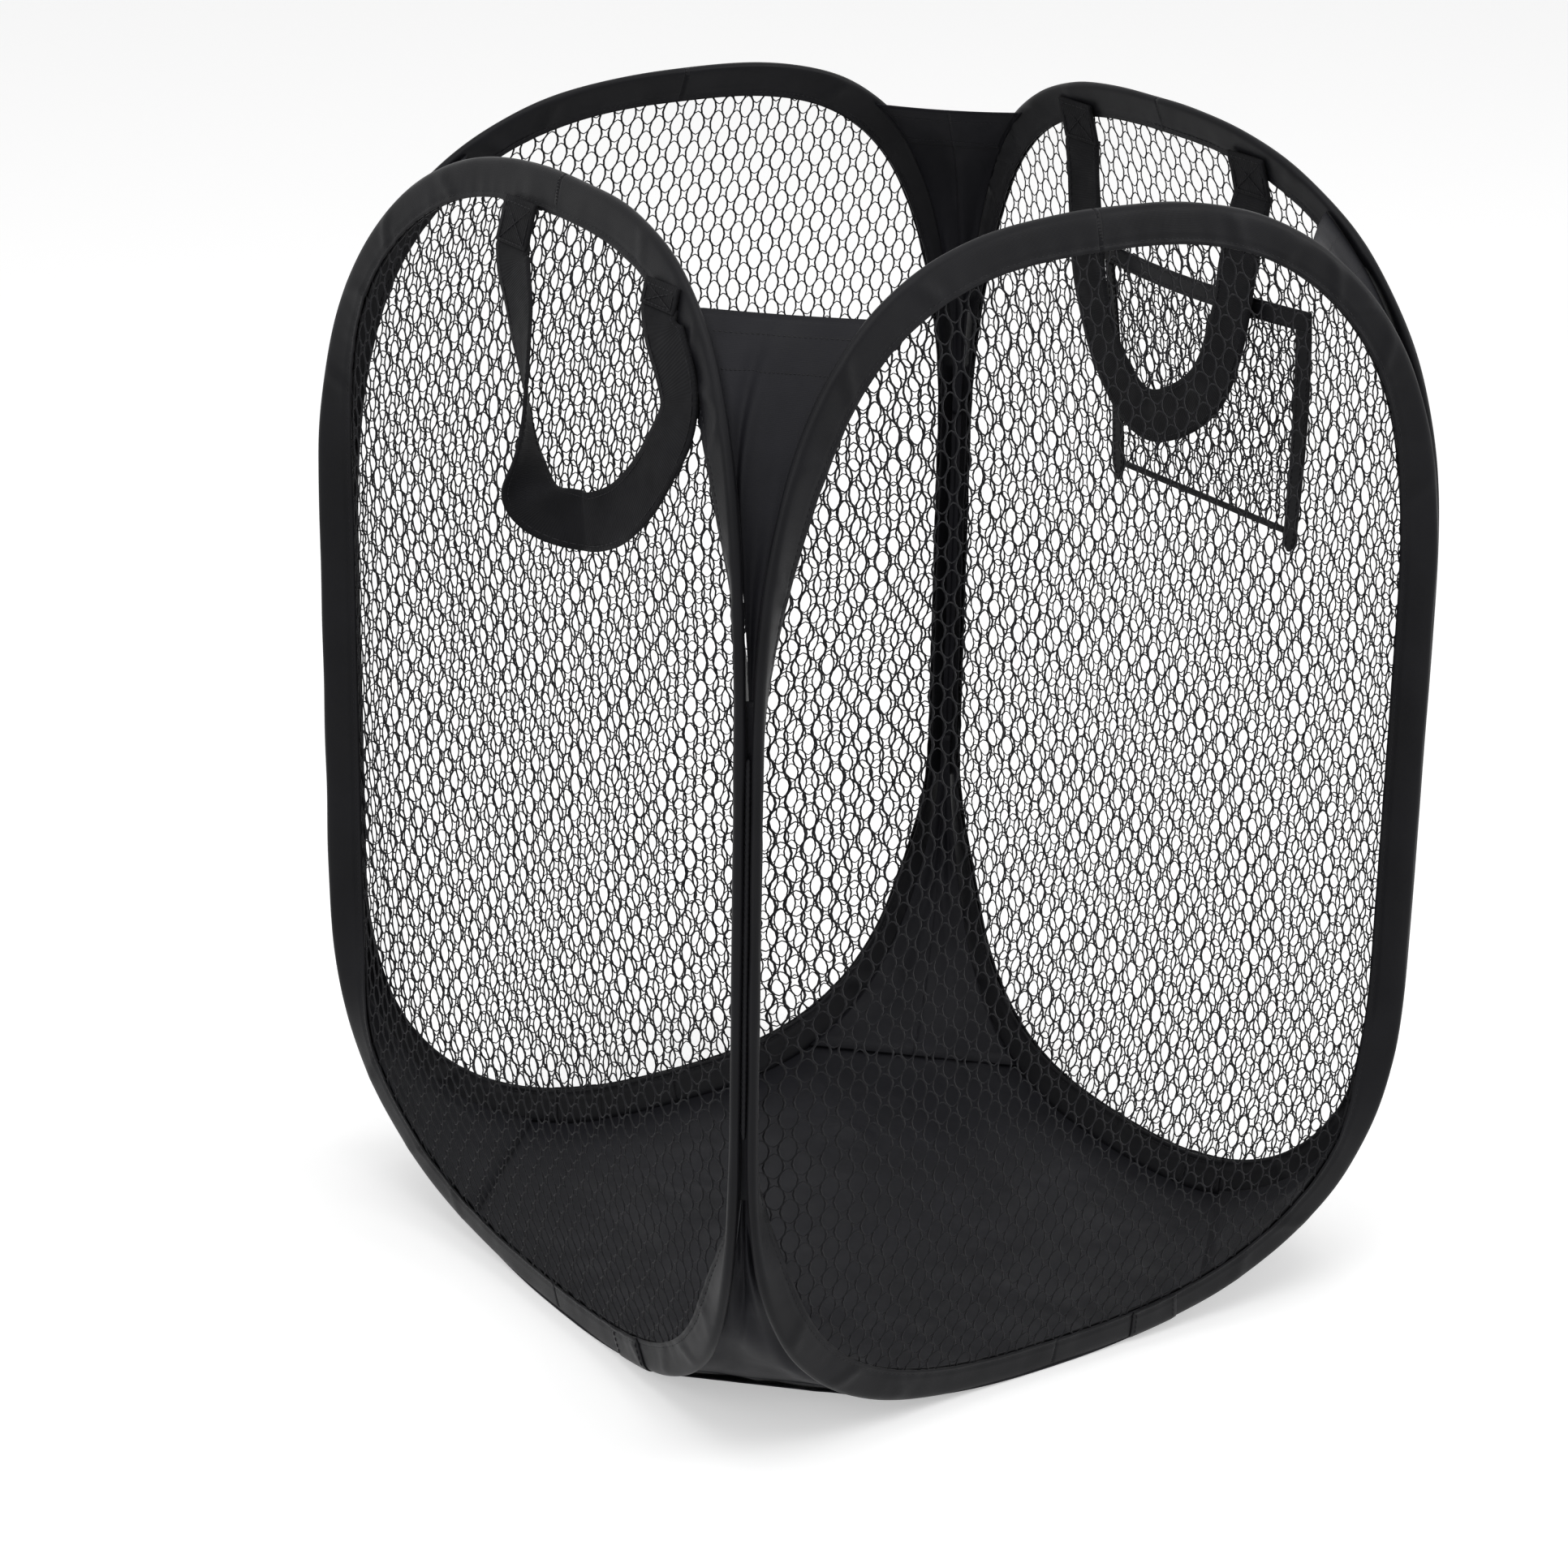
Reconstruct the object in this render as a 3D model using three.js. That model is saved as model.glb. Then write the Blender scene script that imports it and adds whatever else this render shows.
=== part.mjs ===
// Pop up laundry hamper: four oval spring wire hoops in sewn black tape, each filled with net, joined along
// the upright corners, with cloth gussets, a cloth bottom, two strap handles and a net pocket.
// Millimetres, +Z up. The origin is on the floor, under the middle of the hamper. The front is at -Y.

import * as THREE from 'three';

// Driving sizes

// The open hamper
const side = 385;
const height = 557;
const widestHeight = 255;

// How each panel leans in towards its top and bottom, from this share of the half height on
const topLean = 27;
const bottomLean = 24;
const leanStartShare = 0.35;
const leanPower = 2.6;

// The oval outline: straight sides for this share of the half height, then squarish rounds
const straightShare = 0.3;
const topRoundShare = 2.62;
const bottomRoundShare = 2.6;
const quarterSteps = 10;

// Spring wire, and the tape that is folded over it
const wireDiameter = 2.2;
const wireSides = 5;
const tapeWidth = 17;
const tapeThickness = 0.8;
const clearance = 0.3;

// Net
const netThickness = 1;
const netClearance = 0.5;
const netTuck = 9;
const strandWidth = 3;
const gapWidth = 47.5;
const gapHeight = 70;
const rimWidth = 3;
const smallestGapShare = 0.22;

// Corded corner seams, gussets and their hems
const seamDiameter = 2.6;
const seamSides = 8;
const seamReachShare = 0.9;
const foldStandOff = 0.55;
const clothThickness = 0.8;
const gussetClearance = 1;
const gussetTipRise = 97;
const gussetTopDrop = 31;
const gussetSag = 4;
const hemDepth = 16;
const hemInset = 3.2;
const bottomGussetTipDrop = 87;
const bottomGussetLap = 4;
const rulingSteps = 3;
const shortestRuling = 1.2;

// Cloth bottom
const bottomThickness = 1.2;
const bottomRise = 16;
const bottomSteps = 4;

// Handles
const strapWidth = 26;
const strapThickness = 1.6;
const handleTopDrop = 35;
const outerHandleSpan = 122;
const outerHandleCentre = 37;
const outerHandleDrop = 100;
const innerHandleSpan = 132;
const innerHandleCentre = 2;
const innerHandleDrop = 122;
const handleEndHeight = 20;
const shoulderEndHeight = 11;
const handleSteps = 26;

// Net pocket inside the right panel
const pocketTopDrop = 85;
const pocketHeight = 114;
const pocketTopWidth = 160;
const pocketBottomWidth = 144;
const pocketCentre = 18;
const pocketThickness = 0.8;
const pocketBulge = 9;
const pocketGapWidth = 31;
const pocketGapHeight = 45;
const pocketStrand = 2.4;
const pocketTapeWidth = 9;
const pocketTapeThickness = 1;
const pocketTapeTail = 8;
const pocketBandHeight = 10;
const pocketSeamHeight = 3;
const pocketNetSteps = 6;
const pocketTapeSteps = 4;
const pocketBandSteps = 8;
const tieWidth = 5;
const tieReach = 44;
const tieLean = 15;
const tieSteps = 3;

// Values that follow from the sizes

const wireRadius = wireDiameter / 2;
const wireInset = tapeThickness + clearance + wireRadius;
const ridgeHalf = wireInset;
const foldHalf = ridgeHalf - tapeThickness - clearance / 2;
const channelHalf = wireRadius + clearance;
const flankGapHalf = netThickness / 2 + netClearance;
const flankHalf = flankGapHalf + tapeThickness;
const seamRadius = seamDiameter / 2;
const panelPlane = side / 2 - ridgeHalf;
const seamStandOff = Math.sqrt((seamRadius + clearance) ** 2 - foldStandOff ** 2);
const cornerAxis = panelPlane - foldHalf - seamStandOff;
const halfWidth = cornerAxis - foldStandOff;
const netInset = tapeWidth - netTuck;
const gussetTip = widestHeight + gussetTipRise;
const gussetTop = height - gussetTopDrop;
const bottomGussetTip = widestHeight - bottomGussetTipDrop;
const handleHeight = height - handleTopDrop;
const pocketTop = height - pocketTopDrop;
const pocketBottom = pocketTop - pocketHeight;
const quarterTurn = Math.PI / 2;
const sideAngle = { front: 0, right: quarterTurn, back: 2 * quarterTurn, left: -quarterTurn };
const cornerAngle = {
  front_left: 0,
  front_right: quarterTurn,
  back_right: 2 * quarterTurn,
  back_left: -quarterTurn,
};

// Materials

function cloth(color, roughness) {
  return new THREE.MeshStandardMaterial({ color, roughness, metalness: 0, side: THREE.DoubleSide });
}

const makeTape = () => cloth(0x17171c, 0.62);
const makeNet = () => cloth(0x1c1c20, 0.78);
const makeGusset = () => cloth(0x14141a, 0.55);
const makeStrap = () => cloth(0x111114, 0.7);
const makeThread = () => cloth(0x0d0d10, 0.85);

function makeSteel() {
  return new THREE.MeshStandardMaterial({ color: 0x9a9ca0, roughness: 0.35, metalness: 0.9 });
}

// Solids from points

// A solid from matching triangles on its front and back skins, with walls along the open edges.
function thicken(frontPoints, backPoints, faces) {
  const count = frontPoints.length;
  const positions = [...frontPoints, ...backPoints].flatMap((p) => [p.x, p.y, p.z]);
  const indices = [];
  const edges = new Map();
  for (const [a, b, c] of faces) {
    indices.push(a, b, c, count + a, count + c, count + b);
    for (const [from, to] of [[a, b], [b, c], [c, a]]) {
      edges.set(`${from} ${to}`, [from, to]);
    }
  }
  for (const [from, to] of edges.values()) {
    if (edges.has(`${to} ${from}`)) continue;
    indices.push(to, from, count + from, to, count + from, count + to);
  }
  return facingOut(positions, indices);
}

// A tube through rings of the same number of points. An open one is capped with its section's triangles.
function loft(rings, section, closed) {
  const size = section.length;
  const positions = rings.flat().flatMap((p) => [p.x, p.y, p.z]);
  const indices = [];
  const spans = closed ? rings.length : rings.length - 1;
  for (let i = 0; i < spans; i += 1) {
    const next = (i + 1) % rings.length;
    for (let j = 0; j < size; j += 1) {
      const k = (j + 1) % size;
      indices.push(i * size + j, i * size + k, next * size + k);
      indices.push(i * size + j, next * size + k, next * size + j);
    }
  }
  if (!closed) {
    const last = (rings.length - 1) * size;
    for (const [a, b, c] of THREE.ShapeUtils.triangulateShape(section, [])) {
      indices.push(c, b, a, last + a, last + b, last + c);
    }
  }
  return facingOut(positions, indices);
}

// Turns the triangles over where the volume that they enclose comes out negative.
function facingOut(positions, indices) {
  const at = (i) => new THREE.Vector3().fromArray(positions, 3 * i);
  let volume = 0;
  for (let i = 0; i < indices.length; i += 3) {
    volume += at(indices[i]).dot(at(indices[i + 1]).cross(at(indices[i + 2])));
  }
  const geometry = new THREE.BufferGeometry();
  geometry.setAttribute('position', new THREE.Float32BufferAttribute(positions, 3));
  geometry.setIndex(volume < 0 ? indices.slice().reverse() : indices);
  geometry.computeVertexNormals();
  return geometry;
}

// The triangles of a grid of points, rows by columns.
function gridFaces(rows, columns, start = 0) {
  const faces = [];
  for (let i = 0; i + 1 < rows; i += 1) {
    for (let j = 0; j + 1 < columns; j += 1) {
      const a = start + i * columns + j;
      faces.push([a, a + 1, a + columns + 1], [a, a + columns + 1, a + columns]);
    }
  }
  return faces;
}

// Each corner of a closed outline with the shift that moves both of its edges to the left by one.
function mitred(points) {
  return points.map((point, i) => {
    const before = points[(i + points.length - 1) % points.length];
    const after = points[(i + 1) % points.length];
    const into = point.clone().sub(before).normalize();
    const out = after.clone().sub(point).normalize();
    const shift = new THREE.Vector2(-into.y - out.y, into.x + out.x);
    return { point, shift: shift.divideScalar(1 + into.dot(out)) };
  });
}

function inset(corners, distance) {
  return corners.map(({ point, shift }) => point.clone().addScaledVector(shift, distance));
}

// The part of one convex outline that lies inside another.
function clip(outline, region) {
  let kept = outline;
  region.forEach((from, i) => {
    const along = region[(i + 1) % region.length].clone().sub(from);
    const depth = (p) => along.cross(p.clone().sub(from)) / along.length();
    const next = [];
    kept.forEach((p, j) => {
      const q = kept[(j + 1) % kept.length];
      if (depth(p) >= 0) next.push(p);
      if (depth(p) * depth(q) < 0) next.push(p.clone().lerp(q, depth(p) / (depth(p) - depth(q))));
    });
    kept = next;
  });
  return kept.filter((p, i) => p.distanceTo(kept[(i + 1) % kept.length]) > clearance);
}

// The hoop's outline and the panel's surface

function halfHeight(above) {
  return above ? height - widestHeight : widestHeight;
}

// How far the panel's middle surface leans in at a height.
function leanAt(z) {
  const above = z > widestHeight;
  const share = Math.abs(z - widestHeight) / halfHeight(above);
  const over = Math.max(0, share - leanStartShare) / (1 - leanStartShare);
  return (above ? topLean : bottomLean) * over ** leanPower;
}

// A point of the panel: across, up, and out from its middle surface. A panel stands along X, facing -Y.
function onPanel(across, z, out) {
  return new THREE.Vector3(across, leanAt(z) - out, z);
}

// A quarter of the oval: step 0 is the end of the straight side, the last step is the top or bottom.
function quarterPoint(sideSign, upSign, step) {
  const angle = (quarterTurn * step) / quarterSteps;
  const power = 2 / (upSign > 0 ? topRoundShare : bottomRoundShare);
  const across = step === quarterSteps ? 0 : Math.cos(angle) ** power;
  const rise = straightShare + (1 - straightShare) * Math.sin(angle) ** power;
  const z = widestHeight + upSign * rise * halfHeight(upSign > 0);
  return new THREE.Vector2(sideSign * halfWidth * across, z);
}

function quarter(sideSign, upSign) {
  const points = [];
  for (let step = 0; step <= quarterSteps; step += 1) points.push(quarterPoint(sideSign, upSign, step));
  return points;
}

// The whole outline, anticlockwise from the right; the shared top and bottom points are taken once.
function hoopOutline() {
  const topLeft = quarter(-1, 1).reverse().slice(1);
  const bottomRight = quarter(1, -1).reverse().slice(1);
  return mitred([...quarter(1, 1), ...topLeft, ...quarter(-1, -1), ...bottomRight]);
}

const outline = hoopOutline();
const bottomIndex = 3 * quarterSteps + 1;

// The point at a place along the outline, counted in corners, moved in by a distance.
function alongHoop(place, distance) {
  const moved = inset(outline, distance);
  const from = Math.floor(place);
  return moved[from % moved.length].clone().lerp(moved[(from + 1) % moved.length], place - from);
}

// How far out from the middle the hoop's edge is at a height, with a clearance outside it.
function edgeAt(z, gap) {
  const edge = inset(outline, -gap);
  for (let i = 0; i < edge.length; i += 1) {
    const a = edge[i];
    const b = edge[(i + 1) % edge.length];
    if (a.x > 0 && b.x >= 0 && (a.y - z) * (b.y - z) <= 0 && a.y !== b.y) {
      return a.x + ((b.x - a.x) * (z - a.y)) / (b.y - a.y);
    }
  }
  return 0;
}

// The heights of the outline's corners between two heights, with those two heights at the ends.
function heightsBetween(low, high, gap) {
  const inside = inset(outline, -gap)
    .filter((p) => p.x > 0 && p.y > low + shortestRuling && p.y < high - shortestRuling)
    .map((p) => p.y);
  return [low, ...inside.sort((a, b) => a - b), high];
}

// One panel: wire, tape, tape lap and net

// A ring along the hoop: each section point is how far in from the edge and how far out from the panel.
function hoopRing(section, place) {
  return section.map(({ x, y }) => {
    const p = alongHoop(place, x);
    return onPanel(p.x, p.y, y);
  });
}

function hoopSweep(section, places, closed) {
  return loft(places.map((place) => hoopRing(section, place)), section, closed);
}

function allPlaces() {
  return outline.map((_, i) => i);
}

function wireGeometry() {
  const section = [];
  for (let i = 0; i < wireSides; i += 1) {
    const angle = (4 * quarterTurn * i) / wireSides;
    section.push(new THREE.Vector2(wireInset + wireRadius * Math.cos(angle), wireRadius * Math.sin(angle)));
  }
  return hoopSweep(section, allPlaces(), true);
}

// Half of a folded tape's section on the outer side: from its free edge over the ridge to the fold.
function foldedHalf(extra) {
  return [
    new THREE.Vector2(tapeWidth, flankHalf + extra),
    new THREE.Vector2(wireInset, ridgeHalf + extra),
    new THREE.Vector2(-extra, foldHalf + extra / 2),
  ];
}

function mirrored(half) {
  return [...half, ...half.map((p) => new THREE.Vector2(p.x, -p.y)).reverse()];
}

// Tape folded over the wire, open along its inner edge, where the net goes in.
function tapeGeometry() {
  const inner = [
    new THREE.Vector2(tapeThickness, tapeThickness),
    new THREE.Vector2(wireInset, channelHalf),
    new THREE.Vector2(tapeWidth, flankGapHalf),
  ];
  const outside = mirrored(foldedHalf(0));
  const inside = mirrored(inner.reverse()).reverse();
  return hoopSweep([...outside, ...inside], allPlaces(), true);
}

// The tape's finished end, lapped over its start: on the outer face and round the fold.
function lapGeometry(startShare, endShare) {
  const lapped = (extra) => {
    const half = foldedHalf(extra);
    const fold = half[half.length - 1];
    return [...half, new THREE.Vector2(fold.x, -fold.y)];
  };
  const outside = lapped(clearance + tapeThickness);
  const inside = lapped(clearance).reverse();
  const start = bottomIndex + startShare * quarterSteps;
  const end = bottomIndex + endShare * quarterSteps;
  const places = [start];
  for (let i = Math.ceil(start); i <= Math.floor(end); i += 1) {
    if (i > start && i < end) places.push(i);
  }
  return hoopSweep([...outside, ...inside], [...places, end], false);
}

// A tall six sided cell's corners, in shares of its width and height, and the share from row to row
const hexagonShares = [
  [0, -0.5], [0.5, -0.25], [0.5, 0.25], [0, 0.5], [-0.5, 0.25], [-0.5, -0.25],
];
const hexagonRowShare = 0.75;

// Staggered rows of six sided gaps with strands between them, cut off where they meet the region's edge.
function netGaps(region, gap, strand) {
  const xs = region.map((p) => p.x);
  const zs = region.map((p) => p.y);
  const [left, right] = [Math.min(...xs), Math.max(...xs)];
  const [low, high] = [Math.min(...zs), Math.max(...zs)];
  const rowPitch = hexagonRowShare * gap.height;
  const wholeArea = rowPitch * gap.width;
  const hexagon = (x, z) => {
    const points = hexagonShares.map(([u, v]) => new THREE.Vector2(x + u * gap.width, z + v * gap.height));
    return inset(mitred(points), strand / 2);
  };
  const gaps = [];
  const rows = Math.ceil((high - low) / rowPitch);
  const columns = Math.ceil((right - left) / gap.width) + 1;
  const middle = { x: (left + right) / 2, z: (low + high) / 2 };
  for (let i = -rows; i <= rows; i += 1) {
    const stagger = i % 2 === 0 ? 0 : gap.width / 2;
    for (let j = -columns; j <= columns; j += 1) {
      const x = middle.x + stagger + j * gap.width;
      const cell = clip(hexagon(x, middle.z + i * rowPitch), region);
      const open = cell.length > 2 && THREE.ShapeUtils.area(cell) > smallestGapShare * wholeArea;
      if (open) gaps.push(cell);
    }
  }
  return gaps;
}

// Swaps the line between two neighbouring triangles where the other diagonal is shorter, so none spans far.
function shortened(points, triangles) {
  const turn = (a, b, c) => points[b].clone().sub(points[a]).cross(points[c].clone().sub(points[a]));
  const length = (a, b) => points[a].distanceTo(points[b]);
  const area = triangles.reduce((sum, face) => sum + turn(...face), 0);
  const faces = triangles.map(([a, b, c]) => (area > 0 ? [a, b, c] : [a, c, b]));
  let swaps = 1;
  while (swaps > 0) {
    swaps = 0;
    const owner = new Map();
    faces.forEach(([a, b, c], i) => {
      for (const [from, to] of [[a, b], [b, c], [c, a]]) owner.set(`${from} ${to}`, i);
    });
    const done = new Set();
    for (const [edge, i] of owner) {
      const [a, b] = edge.split(' ').map(Number);
      const j = owner.get(`${b} ${a}`);
      if (j === undefined || done.has(i) || done.has(j)) continue;
      const c = faces[i].find((v) => v !== a && v !== b);
      const d = faces[j].find((v) => v !== a && v !== b);
      const convex = turn(a, d, c) > 0 && turn(d, b, c) > 0;
      if (!convex || length(c, d) >= length(a, b)) continue;
      faces[i] = [a, d, c];
      faces[j] = [d, b, c];
      done.add(i).add(j);
      swaps += 1;
    }
  }
  return faces;
}

// A sheet with gaps: both skins are placed by the given function of across, up and side.
function netSheet(contour, gaps, place) {
  const holes = gaps.map((gap) => gap.slice().reverse());
  const points = [...contour, ...holes.flat()];
  const faces = shortened(points, THREE.ShapeUtils.triangulateShape(contour, holes));
  return thicken(points.map((p) => place(p, 1)), points.map((p) => place(p, -1)), faces);
}

function netGeometry() {
  const contour = inset(outline, netInset);
  const region = inset(outline, tapeWidth + rimWidth);
  const gaps = netGaps(region, { width: gapWidth, height: gapHeight }, strandWidth);
  return netSheet(contour, gaps, (p, skin) => onPanel(p.x, p.y, (skin * netThickness) / 2));
}

// Corner pieces, made for the front left corner and turned to the others

// A line across the corner at one height, between the edges of the two hoops that meet there.
function cornerLine(z, gap, shift, shorten, steps, sag) {
  const edge = edgeAt(z, gap);
  const plane = panelPlane - leanAt(z);
  const line = [];
  for (let j = 0; j <= steps; j += 1) {
    const length = (plane - edge) * Math.SQRT2;
    const reach = Math.max(0, length - 2 * shorten) / length;
    const t = 1 / 2 + (j / steps - 1 / 2) * reach;
    const inward = (shift + sag * 4 * t * (1 - t)) / Math.SQRT2;
    const x = THREE.MathUtils.lerp(-edge, -plane, t) + inward;
    const y = THREE.MathUtils.lerp(-plane, -edge, t) + inward;
    line.push(new THREE.Vector3(x, y, z));
  }
  return line;
}

function cornerSheet(low, high, shift, shorten, sagAt) {
  const heights = heightsBetween(low, high, gussetClearance);
  const line = (z, depth) => cornerLine(z, gussetClearance, depth, shorten, rulingSteps, sagAt(z));
  const outer = heights.flatMap((z) => line(z, shift));
  const inner = heights.flatMap((z) => line(z, shift + clothThickness));
  return thicken(outer, inner, gridFaces(heights.length, rulingSteps + 1));
}

const topSag = (z) => (gussetSag * Math.max(0, z - gussetTip)) / (gussetTop - gussetTip);
const noSag = () => 0;

function topGussetGeometry() {
  return cornerSheet(gussetTip, gussetTop, 0, 0, topSag);
}

// The gusset's top edge, turned to the inside and stitched down.
function hemGeometry() {
  return cornerSheet(gussetTop - hemDepth, gussetTop, clothThickness + clearance, hemInset, topSag);
}

function bottomGussetGeometry() {
  return cornerSheet(bottomRise - bottomGussetLap, bottomGussetTip, -clothThickness, 0, noSag);
}

// The sewn cord between the two hoops' tapes, round the line on which the panels fold.
function seamGeometry() {
  const low = widestHeight - seamReachShare * straightShare * halfHeight(false);
  const high = widestHeight + seamReachShare * straightShare * halfHeight(true);
  const geometry = new THREE.CylinderGeometry(seamRadius, seamRadius, high - low, seamSides);
  geometry.rotateX(quarterTurn);
  geometry.translate(-cornerAxis, -cornerAxis, (low + high) / 2);
  return geometry;
}

// Cloth bottom: flat in the middle, rising to the gussets in the corners

function bottomGeometry() {
  const columns = bottomSteps + 1;
  const insideFace = (z) => panelPlane - leanAt(z) - ridgeHalf - clearance;
  const rim = (level) => {
    const z = (bottomRise * level) / bottomSteps;
    const reach = edgeAt(Math.max(z, clearance), 0) + panelPlane - leanAt(z);
    const plane = insideFace(z);
    const line = [];
    for (let j = 0; j <= bottomSteps; j += 1) {
      const x = THREE.MathUtils.lerp(-(reach - plane), -plane, j / bottomSteps);
      line.push(new THREE.Vector3(x, -reach - x, z));
    }
    return line;
  };
  const corner = [];
  for (let level = 0; level <= bottomSteps; level += 1) corner.push(...rim(level));
  const turns = [0, 3, 2, 1];
  const points = [new THREE.Vector3(0, 0, 0)];
  const faces = [];
  turns.forEach((turn, k) => {
    const start = 1 + k * corner.length;
    const axis = new THREE.Vector3(0, 0, 1);
    points.push(...corner.map((p) => p.clone().applyAxisAngle(axis, turn * quarterTurn)));
    faces.push(...gridFaces(columns, columns, start));
    for (let j = 0; j + 1 < columns; j += 1) faces.push([0, start + j + 1, start + j]);
    const next = 1 + ((k + 1) % turns.length) * corner.length;
    faces.push([0, next, start + columns - 1]);
  });
  const top = points.map((p) => p.clone().setZ(p.z + bottomThickness));
  return thicken(points, top, faces);
}

// Handles

// Across in shares of the span, down in shares of the drop, and the strap's turn in quarter turns.
const outerHandleShares = [
  [-0.5, 0, 0], [-0.352, 0.25, 0.15], [-0.197, 0.52, 0.8], [-0.082, 0.77, 1.15], [0.008, 0.95, 1.55],
  [0.205, 1, 2], [0.451, 0.88, 2], [0.648, 0.62, 2], [0.735, 0.32, 2], [0.5, 0, 2],
];
const innerHandleShares = [
  [-0.5, 0, 0], [-0.44, 0.3, 0], [-0.4, 0.56, 0], [-0.3, 0.82, 0], [-0.08, 0.985, 0],
  [0.1, 1, 0], [0.28, 0.84, 0], [0.4, 0.6, 0], [0.46, 0.3, 0], [0.5, 0, 0],
];

// A strap through the table's points; standOff gives how far its middle is from the panel's surface.
function strapGeometry(shares, centre, span, drop, standOff) {
  const top = handleHeight - clearance;
  const curve = (row) => new THREE.CatmullRomCurve3(shares.map(row));
  const place = ([across, down]) => [centre + across * span, top - down * drop];
  const path = curve((row) => new THREE.Vector3(...place(row), 0));
  const turns = curve(([, , turn]) => new THREE.Vector3(turn, 0, 0));
  const front = [];
  const back = [];
  for (let i = 0; i <= handleSteps; i += 1) {
    const t = i / handleSteps;
    const point = path.getPoint(t);
    const along = path.getTangent(t);
    const turn = turns.getPoint(t).x * quarterTurn;
    const across = new THREE.Vector2(-along.y, along.x);
    if (i === 0 || i === handleSteps) across.set(Math.sign(across.x), 0);
    const outward = standOff(point.y, Math.abs(Math.sin(turn)) * (strapWidth / 2));
    const corner = (wide, thick) => {
      const flat = wide * Math.cos(turn) - thick * Math.sin(turn);
      const out = wide * Math.sin(turn) + thick * Math.cos(turn);
      return onPanel(point.x + across.x * flat, point.y + across.y * flat, outward + out);
    };
    for (const edge of [-1, 1]) {
      front.push(corner((edge * strapWidth) / 2, strapThickness / 2));
      back.push(corner((edge * strapWidth) / 2, -strapThickness / 2));
    }
  }
  return thicken(front, back, gridFaces(handleSteps + 1, 2));
}

const strapSeat = ridgeHalf + clearance + strapThickness / 2;

function outerHandleGeometry() {
  const standOff = (z, edgeOn) => strapSeat + edgeOn;
  return strapGeometry(outerHandleShares, outerHandleCentre, outerHandleSpan, outerHandleDrop, standOff);
}

// The inner handle hangs straight down, away from the panel, which spreads outward below the rim.
function innerHandleGeometry() {
  const hang = (z) => -strapSeat - (leanAt(handleHeight) - leanAt(z));
  return strapGeometry(innerHandleShares, innerHandleCentre, innerHandleSpan, innerHandleDrop, hang);
}

// The sewn end of a handle, flat on the tape.
function handleEndGeometry(across, outward, reach) {
  const out = outward * strapSeat;
  const rows = [handleHeight, handleHeight + reach];
  const skin = (half) => rows.flatMap((z) => [-1, 1].map((edge) => (
    onPanel(across + (edge * strapWidth) / 2, z, out + half * outward)
  )));
  return thicken(skin(strapThickness / 2), skin(-strapThickness / 2), gridFaces(2, 2));
}

// Net pocket, on the inside of the right panel

function pocketHalfWidth(z) {
  const share = (z - pocketBottom) / (pocketTop - pocketBottom);
  return THREE.MathUtils.lerp(pocketBottomWidth, pocketTopWidth, share) / 2;
}

// A point of the pocket, a depth away from the panel's net; the bag swells between its sides and bottom.
function onPocket(x, z, depth) {
  const across = THREE.MathUtils.clamp(x / pocketHalfWidth(z), -1, 1);
  const up = THREE.MathUtils.clamp((z - pocketBottom) / (pocketTop - pocketBottom), 0, 1);
  const swell = pocketBulge * (1 - across ** 2) * Math.sin(quarterTurn * up);
  return onPanel(x - pocketCentre, z, -(netThickness / 2 + clearance + swell + depth));
}

// A strip of the pocket between two lines of points, a thickness deep.
function pocketStrip(first, second, depth, thickness) {
  const skin = (d) => [...first, ...second].map((p) => onPocket(p.x, p.y, d));
  return thicken(skin(depth), skin(depth + thickness), gridFaces(2, first.length));
}

function lineBetween(from, to, steps) {
  const line = [];
  for (let i = 0; i <= steps; i += 1) line.push(from.clone().lerp(to, i / steps));
  return line;
}

function pocketNetGeometry() {
  const corner = (edge, z) => new THREE.Vector2(edge * pocketHalfWidth(z), z);
  const low = [corner(-1, pocketBottom), corner(1, pocketBottom)];
  const high = [corner(1, pocketTop), corner(-1, pocketTop)];
  const corners = [...low, ...high];
  const contour = corners.flatMap((from, i) => {
    const to = corners[(i + 1) % corners.length];
    return lineBetween(from, to, pocketNetSteps).slice(0, -1);
  });
  const region = inset(mitred(corners), pocketStrand);
  const gap = { width: pocketGapWidth, height: pocketGapHeight };
  const gaps = netGaps(region, gap, pocketStrand);
  return netSheet(contour, gaps, (p, skin) => onPocket(p.x, p.y, ((1 - skin) * pocketThickness) / 2));
}

const pocketTrimDepth = pocketThickness + clearance;

function pocketTapeGeometry(edge) {
  const bottom = pocketBottom - pocketTapeTail;
  const top = pocketTop - pocketBandHeight - clearance;
  const point = (z, width) => new THREE.Vector2(edge * (pocketHalfWidth(z) - width), z);
  const line = (width) => lineBetween(point(bottom, width), point(top, width), pocketTapeSteps);
  return pocketStrip(line(0), line(pocketTapeWidth), pocketTrimDepth, pocketTapeThickness);
}

// A strip across the pocket, as far to each side as the given reach.
function pocketCrossStrip(low, high, reachAt, steps) {
  const row = (z) => {
    const reach = new THREE.Vector2(reachAt(z), 0);
    const middle = new THREE.Vector2(0, z);
    return lineBetween(middle.clone().sub(reach), middle.clone().add(reach), steps);
  };
  return pocketStrip(row(low), row(high), pocketTrimDepth, pocketTapeThickness);
}

function pocketBandGeometry() {
  return pocketCrossStrip(pocketTop - pocketBandHeight, pocketTop, pocketHalfWidth, pocketBandSteps);
}

function pocketSeamGeometry() {
  const reachAt = (z) => pocketHalfWidth(z) - pocketTapeWidth - clearance;
  return pocketCrossStrip(pocketBottom, pocketBottom + pocketSeamHeight, reachAt, 1);
}

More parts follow.
